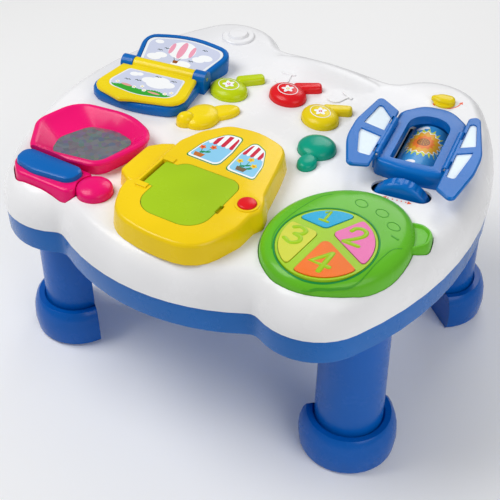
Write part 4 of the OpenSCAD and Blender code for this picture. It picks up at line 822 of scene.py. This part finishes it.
# %% Drum, other pictures
night = rounded([(26, -24), (72, -24), (72, 50), (26, 50)], 3)
stars = [spikes(c, 1.4, 3.4, 5) for c in ((36, -8), (60, -14), (62, 40), (35, 38), (47, 2))]
ink("night_sky", [night], on_drum, INK["deep"], "drum", lift=0.03, rings=12)
ink("night_moon", [oval((49, 22), 12)], on_drum, INK["yellow"], "drum", lift=0.07, rings=7)
ink("night_shade", [oval((54, 25), 10)], on_drum, INK["deep"], "drum", lift=0.1, rings=7)
ink("night_stars", stars, on_drum, INK["white"], "drum", lift=0.07, rings=2)
BOW_CENTRE, BOW_REACH, BOW_STEP = np.array([-49, -2]), np.array([19, 30]), 2.6
t = np.linspace(0.15, 2.99, 14)
for k, hue in enumerate(("red", "orange", "yellow", "grass", "deep")):
    bow = BOW_CENTRE + (BOW_REACH - BOW_STEP * k) * np.column_stack([np.cos(t), np.sin(t)])
    stroke(f"rainbow_{k}", [bow], 2.5, 0.12, on_drum, INK[hue], "drum")
print("night with", len(stars), "stars, and a rainbow")

# %% [markdown]
# ## Emblems on the note keys
# A white blossom in a thin ring is printed on the dome of each note key. The dome is a quarter round that
# follows an oval rim, so its height comes from the distance to that rim, as on the number pad.

# %% Emblems
NOTE_OVAL = (20.5, 17.0)
NOTE_FOOT, NOTE_RISE, NOTE_ROUND = 236.8, 7.2, 13
NOTES = dict(green=((-66, 57), -12, "button_red"), red=((-11, 80), -20, "page_yellow"),
             yellow=((36, 61), -25, "button_red"))


def on_note(centre, angle):
    """The dome of a note key: foot + rise sqrt(1 - (1 - d)^2), where d grows from 0 at the rim to 1."""
    def place(points):
        points = np.asarray(points, float)
        depth = np.clip(rim_distance(points, NOTE_OVAL) / NOTE_ROUND, 0, 1)
        rise = NOTE_FOOT + NOTE_RISE * np.sqrt(1 - (1 - depth) ** 2)
        return np.column_stack([turned(points, angle, centre), rise])
    return place


for hue, (centre, angle, eye) in NOTES.items():
    dome, body = on_note(centre, angle), hue + "_note"
    ring = oval((0, 0), 11.2, 8.8, count=40)
    ink("emblem_" + hue, [petals((0, 0), 6.4, 5, 0.42)], dome, INK["white"], body, lift=0.06, rings=5)
    ink("emblem_eye_" + hue, [oval((0, 0), 1.7)], dome, finishes[eye], body, lift=0.1, rings=2)
    stroke("emblem_ring_" + hue, [ring], 0.8, 0.12, dome, INK["white"], body, closed=True)
print("emblems:", len(NOTES))

# %% [markdown]
# ## Arrows on the crown
# Orange double arrows beside the roller and the knob show which way they turn. The one at the roller is
# dashed, and the one at the knob has a solid shaft. Dashes and heads are placed by the direction of the
# path at their place.

# %% Arrows
on_crown = flat((0, 0), 0, TOP)
DASH = np.array([(-0.55, -0.8), (0.55, -0.8), (0.55, 0.8), (-0.55, 0.8)])


def arrow(name, path, head, dashes=0):
    """A double arrow: two triangles that point away from each other, with dashes or a solid shaft."""
    line = spline(path, 12)
    ahead = np.gradient(line, axis=0)
    ahead /= np.linalg.norm(ahead, axis=1, keepdims=True)
    side = np.column_stack([-ahead[:, 1], ahead[:, 0]])
    marks = [line[i] + DASH @ np.stack([ahead[i], side[i]])
             for i in np.linspace(2, len(line) - 3, dashes).round().astype(int)]
    for i, way in ((0, -1), (-1, 1)):
        tip = line[i] + way * head * ahead[i]
        wing = way * side[i] * head * 0.55
        marks.append(np.array([line[i] - wing, tip, line[i] + wing]))
    ink(name, marks, on_crown, INK["signal"], lift=0.05)
    if not dashes:
        stroke(name + "_shaft", [line[::3]], 1.3, 0.1, on_crown, INK["signal"])


roller_path = turned([(-10.0, -64.4), (0.0, -64.4), (9.5, -64.4)], WINDOW_TURN, WINDOW)
knob_path = [(121.5, 143.5), (128, 142.0), (135.5, 144.5), (140.8, 151.5), (142, 158)]
arrow("roller_arrow", roller_path, 4.0, dashes=5)
arrow("knob_arrow", knob_path, 4.4)
print("arrows: at the roller and at the knob")

# %% [markdown]
# ## Camera
# The table is seen from the front right and from above, through a fairly long lens. A Track To constraint
# would aim the camera at one point, but here its direction is known, so its matrix is written out: its x
# axis points to the right, its y axis up and its z axis back from the table.

# %% Camera
AZIMUTH, ELEVATION = math.radians(31.248), math.radians(40.660)
LENS, SENSOR = 76.02, 36.0
CAMERA_PLACE = np.array([424.43, -710.28, 806.62]) * MM
level = math.cos(ELEVATION)
back = np.array([math.sin(AZIMUTH) * level, -math.cos(AZIMUTH) * level, math.sin(ELEVATION)])
side = np.array([math.cos(AZIMUTH), math.sin(AZIMUTH), 0.0])
stand = np.eye(4)
stand[:3] = np.column_stack([side, np.cross(back, side), back, CAMERA_PLACE])
camera = bpy.data.objects.new("camera", bpy.data.cameras.new("camera"))
camera.data.lens, camera.data.sensor_width = LENS, SENSOR
camera.matrix_world = Matrix(stand.tolist())
bpy.context.scene.collection.objects.link(camera)
bpy.context.scene.camera = camera
print("camera at", [round(v, 3) for v in camera.matrix_world.translation])

# %% [markdown]
# ## Lamps
# Glossy plastic shows its lamps as bright spots, so small lamps would look hard. Three large soft lamps
# light it as in a light tent: a key from the upper left, a fill from the right and a lamp behind that
# draws a bright line along the rolled edges.

# %% Lamps
LAMP_AIM = (0.0, 0.0, 0.2)
LAMPS = dict(key_lamp=((-0.8, -0.5, 1.5), 0.9, 16.5), fill_lamp=((1.2, -0.5, 1.0), 1.0, 8.0),
             back_lamp=((-0.2, 1.3, 1.1), 0.8, 6.0))
for name, (place, size, watts) in LAMPS.items():
    data = bpy.data.lights.new(name, "AREA")
    data.shape, data.size, data.energy = "SQUARE", size, watts
    lamp = bpy.data.objects.new(name, data)
    aim = (Vector(LAMP_AIM) - Vector(place)).to_track_quat("-Z", "Y")
    lamp.matrix_world = Matrix.Translation(place) @ aim.to_matrix().to_4x4()
    bpy.context.scene.collection.objects.link(lamp)
print("lamps:", ", ".join(LAMPS))

# %% [markdown]
# ## World and floor
# The background is pale and plain. A brighter world would wash the colours out, so the world has two
# backgrounds: a dim one lights the table, and a pale one is seen by the camera alone. The floor is pale
# and rough, and keeps only the shadow. It lies a little below the feet, so that the two don't share a
# plane.

# %% World and floor
WORLD_LIGHT, WORLD_SEEN = 0.27, 0.9
FLOOR_HALF, FLOOR_DROP, FLOOR_GREY, FLOOR_ROUGHNESS = 3.0, 0.0002, 0.96, 0.9
world = bpy.data.worlds.new("studio")
bpy.context.scene.world = world
world.use_nodes = True
nodes, wires = world.node_tree.nodes, world.node_tree.links
lit, seen = nodes["Background"], nodes.new("ShaderNodeBackground")
lit.inputs["Color"].default_value = (1.0, 1.0, 1.0, 1.0)
lit.inputs["Strength"].default_value = WORLD_LIGHT
seen.inputs["Color"].default_value = (WORLD_SEEN, WORLD_SEEN, WORLD_SEEN, 1.0)
seen.inputs["Strength"].default_value = 1.0
rays, choice = nodes.new("ShaderNodeLightPath"), nodes.new("ShaderNodeMixShader")
wires.new(rays.outputs["Is Camera Ray"], choice.inputs[0])
wires.new(lit.outputs[0], choice.inputs[1])
wires.new(seen.outputs[0], choice.inputs[2])
wires.new(choice.outputs[0], nodes["World Output"].inputs["Surface"])

floor_mesh = bpy.data.meshes.new("floor")
floor_corners = FLOOR_HALF * np.array([(-1, -1), (1, -1), (1, 1), (-1, 1)])
floor_mesh.from_pydata([(x, y, -FLOOR_DROP) for x, y in floor_corners], [], [(0, 1, 2, 3)])
floor = bpy.data.objects.new("floor", floor_mesh)
bpy.context.scene.collection.objects.link(floor)
paper = bpy.data.materials.new("paper_floor")
paper.use_nodes = True
paper_shader = paper.node_tree.nodes["Principled BSDF"]
paper_shader.inputs["Base Color"].default_value = (FLOOR_GREY, FLOOR_GREY, FLOOR_GREY, 1.0)
paper_shader.inputs["Roughness"].default_value = FLOOR_ROUGHNESS
floor.data.materials.append(paper)
bpy.context.scene.view_settings.view_transform = "Standard"
print("floor:", 2 * FLOOR_HALF, "m wide, world light", WORLD_LIGHT)
